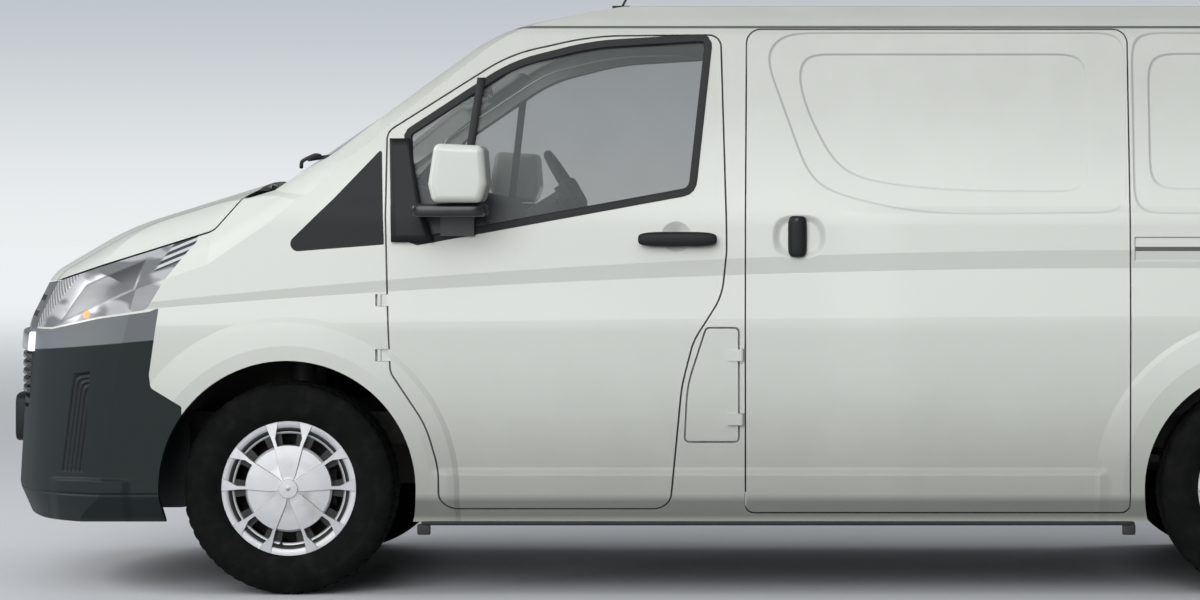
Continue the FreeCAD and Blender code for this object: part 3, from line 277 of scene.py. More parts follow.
def pressed_relief(at):
    """Height of the pressed forms, in metres, summed from the places of the surface."""
    x = at.part(0)
    z = at.part(2)
    relief = 0.0
    for corners in FIELDS:
        relief = depth_inside(x, z, corners, 0.12).fade(-0.0045, 0.0045) * FIELD_DEPTH + relief
    shelf = (1 - z.fade(1.247, 1.282)) * x.fade(0.15, 0.45) * LEDGE_DEPTH
    band_top = x * 0.0387 - x * x * 0.01657 + 1.1114
    band_foot = x * 0.0304 - x * x * 0.01259 + 1.0567
    undercut = ((band_top - z) * 0.2).least((band_top - band_foot) * 0.2 + (z - band_foot) * 0.075).most(0.0)
    ends = x.fade(-1.13, -1.06) * (1 - x.fade(1.05, 1.115))
    ledge = (1 - z.fade(0.393, 0.424)) * ends * LEDGE_DEPTH
    flares = 0.0
    for axle in (FRONT_AXLE, REAR_AXLE):
        reach = ((x - axle) ** 2.0 + (z - AXLE_HEIGHT).most(0.0) ** 2.0) ** 0.5
        flares = (FLARE_RADIUS - reach).least(0.018).most(0.0) * 0.32 + flares
        flares = (FLARE_RADIUS - reach).least(0.095).most(0.0) * 0.12 + flares
    dish = (1 - depth_inside(x, z, HANDLE_DISH, 0.11).fade(-0.022, 0.0)) * DISH_DEPTH
    cup = ((x - CUP_X) ** 2.0 + (z - CUP_Z) ** 2.0) ** 0.5
    bowl = (CUP_RADIUS - cup).most(0.0) * 0.55
    seam = (1 - (z - ROOF_SEAM_Z).size().fade(0.001, 0.005)) * 0.006
    behind = x.fade(SLIDE_TRACK_X - 0.002, SLIDE_TRACK_X + 0.002)
    track = (1 - (z - SLIDE_TRACK_Z + 0.0005).size().fade(0.035, 0.041)) * behind * 0.005
    return relief + shelf - undercut + ledge + flares - dish - bowl - seam - track, seam, x, z


def paint_finish(at):
    relief, seam, x, z = pressed_relief(at)
    # Painted shade: film darkens the paint toward the bottom, where it also stands for road dust, and darkens it
    # high on the side; the noise added below is road dust.
    film = (1 - z.fade(0.12, 1.0)) * 0.98 + z.fade(1.08, 1.75) * 0.46
    dust = (at.noise(6.0, 4.0) - 0.5) * 0.14 + film
    slot = (1 - (z - SLIDE_TRACK_Z).size().fade(0.006, 0.008)) * x.fade(SLIDE_TRACK_X, SLIDE_TRACK_X + 0.002)
    dark = (seam * 160.0).least(0.8).most(slot * 0.95)
    coat = dust.fade(0.0, 1.0).mix(PAINT, PAINT_SHADE_AND_DUST)
    sides = at.part(1).size().fade(0.60, 0.62)
    return {"Base Color": (dark * sides).mix(coat, SEAM_BLACK),
            "Roughness": dust.fade(0.0, 0.8) * 0.12 + 0.30,
            "Normal": (relief * sides).bump(1.0, 1.0)}


paint = finish("body_paint", paint_finish, Coat_Weight=0.4, Coat_Roughness=0.28, Specular_IOR_Level=0.4)


def dress(material, *names):
    """Gives a CAD node's mesh this material in all its slots."""
    for name in names:
        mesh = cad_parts[name].data
        for index in range(len(mesh.materials)):
            mesh.materials[index] = material


SIDES = {"left": -1, "right": 1}
for side in SIDES:
    dress(paint, f"body_side_{side}", f"front_wing_{side}", f"cab_door_{side}", f"sliding_door_{side}")
dress(paint, "roof_panel", "tailgate", "bonnet", "fuel_lid")


# Dark grey moulded plastic: rear bumper, cowl panel, triangle trims and grille. The grain is fine and even,
# with a slight sheen, and it pales a little where dust settles low down.
def plastic_finish(at):
    grain = at.noise(1400.0, 2.0, 0.6)
    low = 1 - at.part(2).fade(0.24, 0.60)
    worn = (at.noise(5.0, 4.0) * 0.6 + low * 0.5).fade(0.35, 1.0)
    return {"Base Color": worn.mix((0.009, 0.013, 0.014), (0.026, 0.031, 0.031)),
            "Roughness": grain * 0.18 + 0.40,
            "Normal": grain.bump(0.0002, 0.5)}


def gloss_black_finish(at):
    smear = at.noise(9.0, 4.0)
    return {"Base Color": smear.mix((0.012, 0.013, 0.014), (0.022, 0.024, 0.025)),
            "Roughness": smear * 0.2 + 0.16}


def rubber_finish(at):
    grain = at.noise(700.0, 2.0)
    return {"Base Color": at.noise(12.0).mix((0.018, 0.019, 0.020), (0.034, 0.035, 0.036)),
            "Roughness": grain * 0.15 + 0.62,
            "Normal": grain.bump(0.0002, 0.4)}


plastic = finish("grained_plastic", plastic_finish, Specular_IOR_Level=0.25)
gloss_black = finish("gloss_black_plastic", gloss_black_finish)
rubber = finish("seal_rubber", rubber_finish, Specular_IOR_Level=0.35)
dress(plastic, "rear_bumper", "cowl_panel", "front_grille", "quarter_trim_left", "quarter_trim_right")
dress(rubber, "antenna")


# Front bumper: one large moulding in the same grained plastic. Each corner has a recess with nested upright ribs,
# a shelf below it, and a crease above which the surface leans back. Above the crease the face is painted a much
# lighter grey as a painted reflection, and the hollows between the ribs are painted near black as painted shade.
RECESS_FOOT = 0.402
RECESS_TOP = 0.733
RECESS_DEPTH = 0.012
RIB_DEPTH = 0.006
RIB_WAVES = 405.0
CREASE_Z = 0.822
CREASE_RISE = 0.09
LIP_Z = 0.332


def bumper_finish(at):
    x = at.part(0)
    z = at.part(2)
    corner = at.part(1).size().fade(0.62, 0.66)
    left = x - (z * 0.137 - 2.405)
    right = (z * 0.061 - 2.283) - x
    top = RECESS_TOP - z + (x + 2.27) * 0.16
    foot = z - RECESS_FOOT
    inside = left.least(right).least(top).least(foot)
    hollow = inside.fade(0.0, 0.008) * corner
    nested = left.maths("SMOOTH_MIN", left, top, 0.03)
    ribs = (nested * RIB_WAVES).wave() * 0.5 + 0.5
    shelf = ((z - 0.378) * -1.0 + (x + 2.26).size() * -0.03).fade(-0.012, 0.004)
    shelf = shelf * (1 - (x + 2.25).size().fade(0.11, 0.15)) * corner
    crease = z - CREASE_Z - (x + 2.2) * CREASE_RISE
    lean = crease.most(0.0) * 0.85
    lip = (1 - (z - LIP_Z).size().fade(0.0, 0.007)) * 0.004
    relief = ribs * hollow * RIB_DEPTH - hollow * RECESS_DEPTH + shelf * 0.010 - lean - lip
    grain = at.noise(1400.0, 2.0, 0.6)
    tone = (at.noise(5.0, 4.0) * 0.5 + (1 - z.fade(0.24, 0.5)) * 0.3).fade(0.3, 1.0)
    flat = tone.mix((0.008, 0.014, 0.015), (0.018, 0.024, 0.025))
    # Painted reflection: above the crease the plastic is painted a much lighter grey.
    flat = crease.fade(0.0, 0.004).mix(flat, (0.17, 0.185, 0.20))
    # Painted shade: the hollows between the ribs of each corner recess are painted near black.
    return {"Base Color": (hollow * (1 - ribs) * 0.85).mix(flat, (0.006, 0.008, 0.009)),
            "Roughness": grain * 0.16 + 0.50,
            "Normal": (relief + grain * 0.00006).bump(1.0, 1.0)}


dress(finish("bumper_plastic", bumper_finish, Specular_IOR_Level=0.28), "front_bumper")


# Bright trim of the nose: chrome-plated plastic bars, clean and hard.
def chrome_finish(at):
    film = at.noise(30.0, 3.0)
    return {"Base Color": film.mix((0.62, 0.63, 0.65), (0.54, 0.55, 0.57)),
            "Roughness": film * 0.10 + 0.24}


# The panel between the headlamps has two dark slots between its three bright bars.
SLOT_HEIGHTS = (0.915, 0.968)


def upper_grille_finish(at):
    low, high = (1 - (at.part(2) - height).size().fade(0.009, 0.012) for height in SLOT_HEIGHTS)
    slots = low.most(high)
    slots = slots * (1 - at.part(1).size().fade(0.565, 0.570))
    film = at.noise(30.0, 3.0)
    return {"Base Color": slots.mix((0.60, 0.61, 0.63), (0.012, 0.013, 0.014)),
            "Metallic": 1 - slots, "Roughness": film * 0.10 + 0.24,
            "Normal": (slots * -0.010).bump(1.0, 1.0)}


chrome = finish("chrome_plate", chrome_finish, Metallic=1.0)
dress(finish("upper_grille", upper_grille_finish), "grille_trim")


# Window glass, lightly tinted green-grey, with a film of haze that spreads the sky's reflection.
def glass_finish(at):
    film = at.noise(4.0, 3.0)
    return {"Base Color": film.mix((0.055, 0.080, 0.082), (0.075, 0.102, 0.102)),
            "Roughness": film * 0.03 + 0.29,
            "Alpha": film * 0.06 + 0.24}


glass = finish("tinted_glass", glass_finish, Specular_IOR_Level=0.6)
dress(glass, "windscreen", "door_glass_left", "door_glass_right", "tailgate_glass")


# Headlamps: clear lenses over bright bowls. Ahead is a ribbed day lamp, in the middle a main bowl between plated
# facets, painted from grey at its foot to near black at its top as painted shade, with an amber bulb below it,
# and at the rear a stack of level fins.
LAMP_RAKE = 0.42
BOWL_FOOT = 0.955
BOWL_TOP = 1.050
FIN_WAVES = 290.0
LENS_WAVES = 420.0
BULB_X = -2.258
BULB_Z = 0.922
BULB_RADIUS = 0.012
LAMP_GREY = (0.20, 0.21, 0.22)
AMBER = (0.80, 0.28, 0.02)


def headlamp_finish(at):
    x = at.part(0)
    z = at.part(2)
    level = z - (x + 2.2) * LAMP_RAKE
    facets = at.stretched(9.0, 3.0, 16.0).noise(1.0, 1.0)
    plated = facets.fade(0.44, 0.54).mix(LAMP_GREY, (0.52, 0.53, 0.55))
    bowl_front = x - (z - 0.98) * 0.75 + 2.300
    bowl_rear = -2.075 - x + (z - 1.05) * 0.25
    bowl_low = level - BOWL_FOOT
    bowl_high = BOWL_TOP - level
    bowl = bowl_front.least(bowl_rear).least(bowl_low).least(bowl_high).fade(0.0, 0.010)
    # Painted shade: the main bowl is painted darker toward its top.
    bowl_painted_shade = level.fade(0.95, 1.05).mix(LAMP_GREY, (0.060, 0.064, 0.070))
    fins = ((level * FIN_WAVES).wave() * 0.5 + 0.5).fade(0.45, 0.6)
    rear = (x - (z - 1.0) * 0.55 + 2.065).fade(-0.006, 0.006)
    stack = fins.mix((0.05, 0.055, 0.06), (0.70, 0.72, 0.74))
    low_rear = rear * (level - 0.99).fade(-0.004, 0.004)
    ribbed = ((x + z * 0.5) * LENS_WAVES).wave() * 0.5 + 0.5
    front = 1 - (x - (z - 1.0) * 0.9 + 2.345).fade(-0.004, 0.004)
    day = ribbed.mix(LAMP_GREY, (0.66, 0.68, 0.70))
    bulb_reach = ((x - BULB_X) ** 2.0 + (z - BULB_Z) ** 2.0) ** 0.5
    bulb = 1 - bulb_reach.fade(BULB_RADIUS, BULB_RADIUS + 0.003)
    colour = bulb.mix(front.mix(low_rear.mix(bowl.mix(plated, bowl_painted_shade), stack), day), AMBER)
    relief = bowl * -0.006 + fins * low_rear * 0.003 + ribbed * front * 0.002 + facets * 0.004
    return {"Base Color": colour, "Roughness": bowl * 0.05 + 0.30,
            "Metallic": 0.16 - bowl * 0.1 - bulb * 0.06,
            "Normal": relief.bump(1.0, 0.6)}


# Rear lamps: red moulded lenses with a clear band, ribbed inside, one in each rear corner.
CLEAR_BAND_Z = 1.16


def tail_lamp_finish(at):
    z = at.part(2)
    ribs = (z * 400.0).wave() * 0.5 + 0.5
    band = (z - CLEAR_BAND_Z).size().fade(0.05, 0.06)
    return {"Base Color": band.mix((0.55, 0.50, 0.48), (0.42, 0.012, 0.014)),
            "Roughness": ribs * 0.05 + 0.08,
            "Normal": ribs.bump(0.0015, 0.4)}


dress(finish("headlamp_lens", headlamp_finish, Coat_Weight=0.35, Coat_Roughness=0.18),
      "headlamp_left", "headlamp_right")
tail_lens = finish("tail_lamp_lens", tail_lamp_finish, Coat_Weight=1.0, Coat_Roughness=0.03)
dress(tail_lens, "tail_lamp_left", "tail_lamp_right")


# Running gear under the floor: black chassis paint, cast iron and exhaust steel, all with road dirt, and the
# plastic fuel tank.
def chassis_finish(at):
    dirt = at.noise(7.0, 5.0, 0.6)
    return {"Base Color": dirt.fade(0.42, 0.72).mix((0.020, 0.021, 0.022), (0.085, 0.075, 0.062)),
            "Roughness": dirt * 0.35 + 0.42,
            "Normal": at.noise(220.0, 3.0).bump(0.0006, 0.4)}


def cast_iron_finish(at):
    dirt = at.noise(14.0, 5.0, 0.6)
    return {"Base Color": dirt.mix((0.055, 0.056, 0.058), (0.15, 0.13, 0.11)),
            "Roughness": dirt * 0.3 + 0.5,
            "Normal": at.noise(420.0, 3.0).bump(0.0008, 0.5)}


def exhaust_finish(at):
    heat = at.noise(5.0, 5.0, 0.6)
    return {"Base Color": heat.mix((0.24, 0.22, 0.20), (0.36, 0.26, 0.17)),
            "Roughness": heat * 0.3 + 0.35,
            "Normal": at.noise(300.0, 2.0).bump(0.0004, 0.4)}


chassis = finish("chassis_paint", chassis_finish, Specular_IOR_Level=0.4)
dress(chassis, "floor_pan", "front_subframe", "rear_axle", "propshaft", "leaf_springs", "knuckle_left",
      "knuckle_right")
dress(finish("cast_iron", cast_iron_finish, Metallic=0.6), "engine_block")
dress(finish("exhaust_steel", exhaust_finish, Metallic=0.9), "exhaust")
dress(finish("tank_plastic", plastic_finish, Specular_IOR_Level=0.3), "fuel_tank")


# Cab trim: mid-grey moulded plastic for the dashboard, darker and finer on the steering wheel.
def cab_plastic_finish(at):
    grain = at.noise(600.0, 3.0, 0.65)
    tone = at.part(2).fade(1.02, 1.12)
    return {"Base Color": tone.mix((0.16, 0.155, 0.145), (0.075, 0.076, 0.076)),
            "Roughness": grain * 0.2 + 0.5,
            "Normal": grain.bump(0.0004, 0.6)}


def wheel_rim_finish(at):
    grain = at.noise(1500.0, 2.0, 0.6)
    return {"Base Color": at.noise(20.0).mix((0.022, 0.022, 0.023), (0.036, 0.035, 0.034)),
            "Roughness": grain * 0.2 + 0.42,
            "Normal": grain.bump(0.0002, 0.6)}


dress(finish("dashboard_plastic", cab_plastic_finish, Specular_IOR_Level=0.4), "dashboard")
dress(finish("steering_rim", wheel_rim_finish), "steering_wheel")


# Seats: woven charcoal cloth with a fine warp and weft.
def seat_finish(at):
    warp = (at.part(1) * 2600.0).wave() * 0.5 + 0.5
    weft = ((at.part(0) + at.part(2)) * 2600.0).wave() * 0.5 + 0.5
    weave = warp * weft
    tone = at.noise(18.0, 4.0)
    return {"Base Color": tone.mix((0.052, 0.054, 0.058), (0.095, 0.096, 0.10)),
            "Roughness": weave * 0.12 + 0.80,
            "Normal": weave.bump(0.0006, 0.7)}


seat_cloth = finish("seat_cloth", seat_finish, Sheen_Weight=0.25, Sheen_Roughness=0.5)
dress(seat_cloth, "driver_seat", "passenger_seat")


# Wheel paint and tyre rubber: silver for the moulded covers, with road dust on both.
def silver_finish(at):
    flake = at.noise(2200.0, 1.0)
    dust = at.noise(11.0, 4.0)
    return {"Base Color": dust.fade(0.5, 0.9).mix((0.56, 0.57, 0.59), (0.40, 0.39, 0.37)),
            "Roughness": flake * 0.10 + 0.36,
            "Normal": flake.bump(0.0001, 0.2)}


silver = finish("wheel_silver", silver_finish, Metallic=0.35, Coat_Weight=0.15)
WHEELS = {f"{end}_{side_name}": (axle, side)
          for end, axle in (("front", FRONT_AXLE), ("rear", REAR_AXLE)) for side_name, side in SIDES.items()}


def tyre_finish(at):
    dust = at.noise(16.0, 5.0, 0.6)
    return {"Base Color": dust.fade(0.4, 0.8).mix((0.0045, 0.005, 0.005), (0.014, 0.014, 0.013)),
            "Roughness": dust * 0.2 + 0.62,
            "Normal": at.noise(500.0, 3.0).bump(0.0004, 0.4)}


tyre_rubber = finish("tyre_rubber", tyre_finish, Specular_IOR_Level=0.08)
for place in WHEELS:
    dress(tyre_rubber, f"tyre_{place}")
dress(tyre_rubber, "spare_wheel")


# Black window surrounds of the cab doors: a rubber-faced moulded ring round each glass, the sail plate ahead of
# it that carries the mirror, and the upright bar that divides off the front corner of the glass.
SECTION = [(0.905, 0.18, 0), (0.958, 0.32, 0.04), (0.975, 0.885, 0.5), (0.952, 1.25, 0.3), (0.935, 1.31, 0.15),
           (0.80, 1.88, 0.12), (0.70, 1.945, 0)]
DOOR_GLASS = [(-1.1965, 1.515, 0.012), (-1.1785, 1.168, 0.012), (-0.2725, 1.334, 0.036), (-0.2225, 1.829, 0.020),
              (-0.6005, 1.806, 0.9), (-0.8605, 1.740, 0.5)]


def rounded(corners, steps=8, closed=True):
    """Points of a line through corners (u, v, radius), each corner replaced by an arc tangent to both its runs.

    The arc starts radius / tan(half the corner's angle) before the corner; where there is no room it is shorter.
    """
    places = np.array([c[:2] for c in corners], float)
    points = []
    for index, here in enumerate(places):
        radius = corners[index][2]
        if radius == 0 or (not closed and index in (0, len(corners) - 1)):
            points.append(here[None])
            continue
        back = places[index - 1] - here
        onward = places[(index + 1) % len(corners)] - here
        back_long, onward_long = np.hypot(*back), np.hypot(*onward)
        back, onward = back / back_long, onward / onward_long
        half = np.arccos(np.clip(back @ onward, -1, 1)) / 2
        reach = min(radius / np.tan(half), back_long * 0.48, onward_long * 0.48)
        t = np.linspace(0, 1, steps)[:, None]
        points.append(here + back * reach * (1 - t) ** 2 + onward * reach * t ** 2)
    return np.concatenate(points)


section_line = rounded(SECTION, 12, closed=False)


def width_at(height):
    """Half width of the body at a height, read off the rounded cross section."""
    return np.interp(height, section_line[:, 1], section_line[:, 0])


def onto_side(x, z, side, proud):
    """Points on the side of the body at x and z, standing proud of it by so much."""
    return np.stack([x, side * (width_at(z) + proud), z], axis=-1)


def carry(made, body="van_body", stands_for=()):
    """Puts a piece on its body and hides the CAD nodes that it stands for."""
    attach(made, body)
    if stands_for:
        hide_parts(*stands_for)
    return made


def resampled(line, count):
    """The closed line again, as count points evenly spaced along it."""
    loop = np.vstack([line, line[:1]])
    far = np.r_[0, np.cumsum(np.hypot(*np.diff(loop, axis=0).T))]
    places = np.linspace(0, far[-1], count, endpoint=False)
    return np.stack([np.interp(places, far, loop[:, k]) for k in (0, 1)], axis=1)


def band(line, profile, side):
    """A closed bead round a side outline: the profile (outward, proud) is carried along the line.

    Outward is along the line's own normal in side view, so the bead keeps its width round the corners.
    """
    along = np.roll(line, -1, axis=0) - np.roll(line, 1, axis=0)
    along /= np.hypot(*along.T)[:, None]
    out = np.stack([-along[:, 1], along[:, 0]], axis=1)
    out *= np.sign(np.sum((line - line.mean(axis=0)) * out))
    profile = np.array(profile)
    places = line[:, None] + out[:, None] * profile[None, :, :1]
    return onto_side(places[..., 0], places[..., 1], side, profile[None, :, 1])


def ruled(heights, front, rear, columns=6):
    """Side places of a plate whose front and rear edges are given at some heights, as grid arrays x and z."""
    rows = np.linspace(heights[0], heights[-1], 14)
    start = np.interp(rows, heights, front)
    end = np.interp(rows, heights, rear)
    t = np.linspace(0, 1, columns)
    x = start[:, None] * (1 - t) + end[:, None] * t
    return x, np.broadcast_to(rows[:, None], x.shape)


def thickened(made, thick):
    """Gives an open shell a wall that grows inward from its outer face."""
    wall = made.modifiers.new("thickness", "SOLIDIFY")
    wall.thickness = thick
    wall.offset = -1
    return made


def plate(name, x, z, side, proud, thick, material):
    """A thin plate that follows the body side."""
    made = solid(name, onto_side(x, z, side, proud), quads(*x.shape), material, 60)
    if side > 0:
        made.data.flip_normals()
    return thickened(made, thick)


SEAL = [(-0.006, -0.018), (-0.006, -0.004), (-0.002, 0.001), (0.014, 0.0025), (0.020, 0.0015), (0.022, -0.004),
        (0.022, -0.010)]
SAIL = ruled([1.160, 1.30, 1.498], [-1.250, -1.254, -1.262], [-1.110, -1.158, -1.196])
BAR = ruled([1.182, 1.70], [-1.048, -0.979], [-1.022, -0.953], 3)
for side_name, side in SIDES.items():
    ring = band(resampled(rounded(DOOR_GLASS), 240), SEAL, side)
    surround = solid(f"window_surround_{side_name}", ring, quads(*ring.shape[:2], closed_rows=True), rubber)
    if side < 0:
        surround.data.flip_normals()
    sail = plate(f"mirror_sail_{side_name}", *SAIL, side, 0.0035, 0.014, plastic)
    bar = plate(f"window_bar_{side_name}", *BAR, side, -0.004, 0.012, rubber)
    for piece in (surround, sail, bar):
        carry(piece, f"cab_door_{side_name}")


# Door handles, moulded in dark plastic: a level pull bar over a round finger cup on each cab door, and an
# upright grip in a shallow dish on each sliding door.
BAR_ROWS = 28
BAR_COLUMNS = 24


def circle(count):
    """Angles of so many places evenly round a circle."""
    return np.linspace(0, 2 * np.pi, count, endpoint=False)


def bar_shape(start, end, half_height, inner, outer, side, power=4.0, upright=False):
    """A bar on the body side whose ends round off.

    Along the bar t runs from -1 to 1 and its size is (1 - |t| ** power) ** (1 / power); round it the section is a
    superellipse of power 3, half_height tall and from inner to outer proud of the body.
    """
    t = np.sin(np.linspace(-0.5, 0.5, BAR_ROWS) * np.pi)
    swell = (1 - np.abs(t) ** power * 0.9999) ** (1 / power)
    turn = circle(BAR_COLUMNS)
    soft = (np.abs(np.cos(turn)) ** 3 + np.abs(np.sin(turn)) ** 3) ** (-1 / 3)
    across = half_height * swell[:, None] * (soft * np.cos(turn))
    depth = (inner + outer) / 2 + (outer - inner) / 2 * (0.35 + 0.65 * swell[:, None]) * (soft * np.sin(turn))
    middle = [(a + b) / 2 for a, b in zip(start, end)]
    reach = [(b - a) / 2 for a, b in zip(start, end)]
    x = middle[0] + reach[0] * t[:, None] + (across if upright else 0)
    z = middle[1] + reach[1] * t[:, None] + (0 if upright else across)
    x, z, depth = np.broadcast_arrays(x, z, depth)
    flat = np.full_like(z, width_at(middle[1]))
    return np.stack([x, side * (flat + depth), z], axis=-1)


def lump(name, points, material, smooth=60):
    """A closed solid from a grid of rings: the first and last are capped, and all faces turned outward."""
    rows, columns = points.shape[:2]
    faces = quads(rows, columns, closed_columns=True)
    faces.append(list(range(columns)))
    faces.append(list(range(rows * columns - 1, (rows - 1) * columns - 1, -1)))
    made = solid(name, points, faces, material, smooth)
    work = bmesh.new()
    work.from_mesh(made.data)
    bmesh.ops.recalc_face_normals(work, faces=work.faces)
    work.to_mesh(made.data)
    work.free()
    return made


HANDLE_Z = 1.170
GRIP_X = 0.080
for side_name, side in SIDES.items():
    door = f"cab_door_{side_name}"
    pull = bar_shape((-0.441, HANDLE_Z), (-0.183, HANDLE_Z), 0.024, 0.014, 0.044, side)
    carry(lump(f"cab_handle_{side_name}", pull, plastic), door)
    for end, foot_x in (("front", -0.398), ("rear", -0.226)):
        foot = bar_shape((foot_x - 0.026, HANDLE_Z), (foot_x + 0.026, HANDLE_Z), 0.015, -0.012, 0.026, side)
        carry(lump(f"cab_handle_foot_{end}_{side_name}", foot, plastic), door)
    grip = bar_shape((GRIP_X, 1.112), (GRIP_X, 1.246), 0.031, -0.014, 0.030, side, power=5.0, upright=True)
    carry(lump(f"slide_handle_{side_name}", grip, plastic))
    dial = bar_shape((GRIP_X, 1.222), (GRIP_X, 1.240), 0.011, 0.020, 0.034, side, power=2.5, upright=True)
    carry(lump(f"slide_lock_{side_name}", dial, gloss_black))


# Door mirrors: body-colour shells on black arms. The colour changes at the joint line of the two mouldings.
SHELL_JOINT_Z = 1.289


def mirror_finish(at):
    lower = 1 - at.part(2).fade(SHELL_JOINT_Z, SHELL_JOINT_Z + 0.0015)
    peel = at.noise(900.0, 1.0)
    return {"Base Color": lower.mix(PAINT, (0.022, 0.026, 0.028)),
            "Roughness": lower * 0.18 + peel * 0.05 + 0.27,
            "Normal": peel.bump(0.00015, 0.25)}


dress(finish("mirror_shell", mirror_finish, Coat_Weight=0.4, Coat_Roughness=0.1), "mirror_left", "mirror_right")


# Wheels: black steel wheels under moulded silver covers. Each cover is a thin shell with a low dome, five raised
# blades that split into ten flared spokes, and ten open windows between them.
COVER_ROWS = [0.0, 0.010, 0.020, 0.0275, 0.029, 0.0305, 0.036, 0.045, 0.058, 0.072, 0.086, 0.100, 0.112, 0.124,
              0.132, 0.137, 0.1395, 0.145, 0.155, 0.165, 0.174, 0.180, 0.186, 0.192, 0.1955, 0.197, 0.203, 0.209,
              0.2135, 0.2145]
WINDOW = (0.1395, 0.174)


def cover_grid():
    """Places of the cover's surface: radius, angle and depth outward, as grids, and which faces are open.

    Within each fifth the columns follow the blade's or spoke's edges, whose angles are their half widths over the
    radius. Raised columns stand on the raised line and the others on the recessed line of the section.
    """
    r = np.array(COVER_ROWS)
    safe = np.maximum(r, 0.02)
    outer = np.interp(r, [0.025, 0.137, 0.160, 0.2145], [0.0175, 0.045, 0.053, 0.0755]) / safe
    inner = np.interp(r, [0.025, 0.137, 0.160, 0.2145], [0.0100, 0.038, 0.0446, 0.0345]) / safe
    step = 0.0022 / safe
    fifth = np.pi / 5
    outer = np.minimum(outer, fifth * 0.78)
    inner = np.minimum(inner, outer * 0.8)
    marks = [(-fifth, 0, 6), (-outer - step, 0, 1), (-outer, 1, 3), (-inner, 1, 1), (-inner + step, 2, 6),
             (inner - step, 2, 1), (inner, 1, 3), (outer, 1, 1), (outer + step, 0, 6), (fifth, 0, 0)]
    angles, kinds, opens = [], [], []
    for (start, kind, count), (end, after, _) in zip(marks, marks[1:]):
        t = np.arange(count) / count
        angles += [start + (end - start) * f for f in t]
        kinds += [kind] + [kind if kind == after else 0] * (count - 1)
        opens += [kind == after and kind in (0, 2)] * count
    angles = np.stack([np.broadcast_to(a, r.shape) for a in angles], axis=1)
    kinds = np.array(kinds)
    low = np.interp(r, [0, 0.029, 0.031, 0.042, 0.07, 0.10, 0.132, 0.1395, 0.174, 0.186, 0.1955, 0.2, 0.2145],
                    [0.104, 0.103, 0.097, 0.0965, 0.0905, 0.0895, 0.0865, 0.079, 0.0715, 0.0735, 0.0830, 0.0848,
                     0.0850])
    high = np.interp(r, [0, 0.029, 0.031, 0.05, 0.10, 0.137, 0.174, 0.2, 0.2145],
                     [0.104, 0.103, 0.099, 0.0995, 0.0975, 0.0935, 0.0895, 0.0875, 0.0862])
    unsplit = r <= 0.1385
    raised = (kinds == 1)[None, :] | ((kinds == 2)[None, :] & unsplit[:, None])
    depth = np.where(raised, high[:, None], low[:, None])
    angle = np.concatenate([angles + 2 * fifth * k for k in range(5)], axis=1)
    depth = np.tile(depth, (1, 5))
    radius = np.broadcast_to(r[:, None], angle.shape)
    is_window = (r[:-1] >= WINDOW[0] - 1e-6) & (r[1:] <= WINDOW[1] + 1e-6)
    gone = is_window[:, None] & np.tile(opens, 5)[None, :]
    return radius, angle, depth, gone


HALF_TRACK = 0.832


def on_axle(radius, angle, depth, axle, side):
    """Wheel places: angle from straight up, depth outward from the wheel's middle plane."""
    return np.stack([axle + radius * np.sin(angle), side * (HALF_TRACK + depth),
                     AXLE_HEIGHT + radius * np.cos(angle)], axis=-1)


def steel_finish(at):
    dirt = at.noise(22.0, 4.0)
    return {"Base Color": dirt.mix((0.014, 0.015, 0.016), (0.05, 0.047, 0.043)),
            "Roughness": dirt * 0.3 + 0.45}


# Half section of a tyre from its bead to the middle of its tread: (across, radius). The fine steps beside the rim
# are moulded rings, and the tread has two round grooves in each half.
TYRE_HALF = [(0.069, 0.2036), (0.0695, 0.2142), (0.0790, 0.2150), (0.0800, 0.2225), (0.0900, 0.2235),
             (0.0928, 0.2240), (0.0944, 0.2250), (0.0962, 0.2285), (0.0966, 0.2305),
             (0.0990, 0.2350), (0.1020, 0.2440), (0.1050, 0.2540), (0.1072, 0.2660), (0.1073, 0.2760),
             (0.1068, 0.2860), (0.1056, 0.2960), (0.1058, 0.2980), (0.1044, 0.3040), (0.1020, 0.3130),
             (0.0990, 0.3230), (0.0960, 0.3300), (0.0925, 0.3365), (0.0880, 0.3415), (0.0820, 0.3450),
             (0.0740, 0.3475), (0.0640, 0.3488), (0.0600, 0.3488), (0.0590, 0.3415), (0.0510, 0.3415),
             (0.0500, 0.3492), (0.0400, 0.3496), (0.0280, 0.3498), (0.0270, 0.3420), (0.0190, 0.3420),
             (0.0180, 0.3500), (0.0090, 0.3500)]


TREAD_STEPS = 216
GROOVE_DEPTH = 0.006


def tyre_grid():
    """Tyre places: the section and its mirror image turned about the axle.

    Cross grooves cut the tread into blocks: in one step in four the radius drops by the groove's depth.
    """
    half = np.array(TYRE_HALF)
    line = np.vstack([half, (half * [-1, 1])[::-1]])
    angle = circle(TREAD_STEPS)
    across = np.broadcast_to(line[:, :1], (len(line), TREAD_STEPS))
    radius = np.repeat(line[:, 1:], TREAD_STEPS, axis=1)
    shift = np.where(line[:, 0] > 0, 0, 2)[:, None]
    cut = (np.arange(TREAD_STEPS)[None, :] + shift) % 4 == 0
    block = (radius > 0.3440) & ((np.abs(across) > 0.059) | (np.abs(across) < 0.0185))
    return np.where(cut & block, radius - GROOVE_DEPTH, radius), np.broadcast_to(angle, across.shape), across


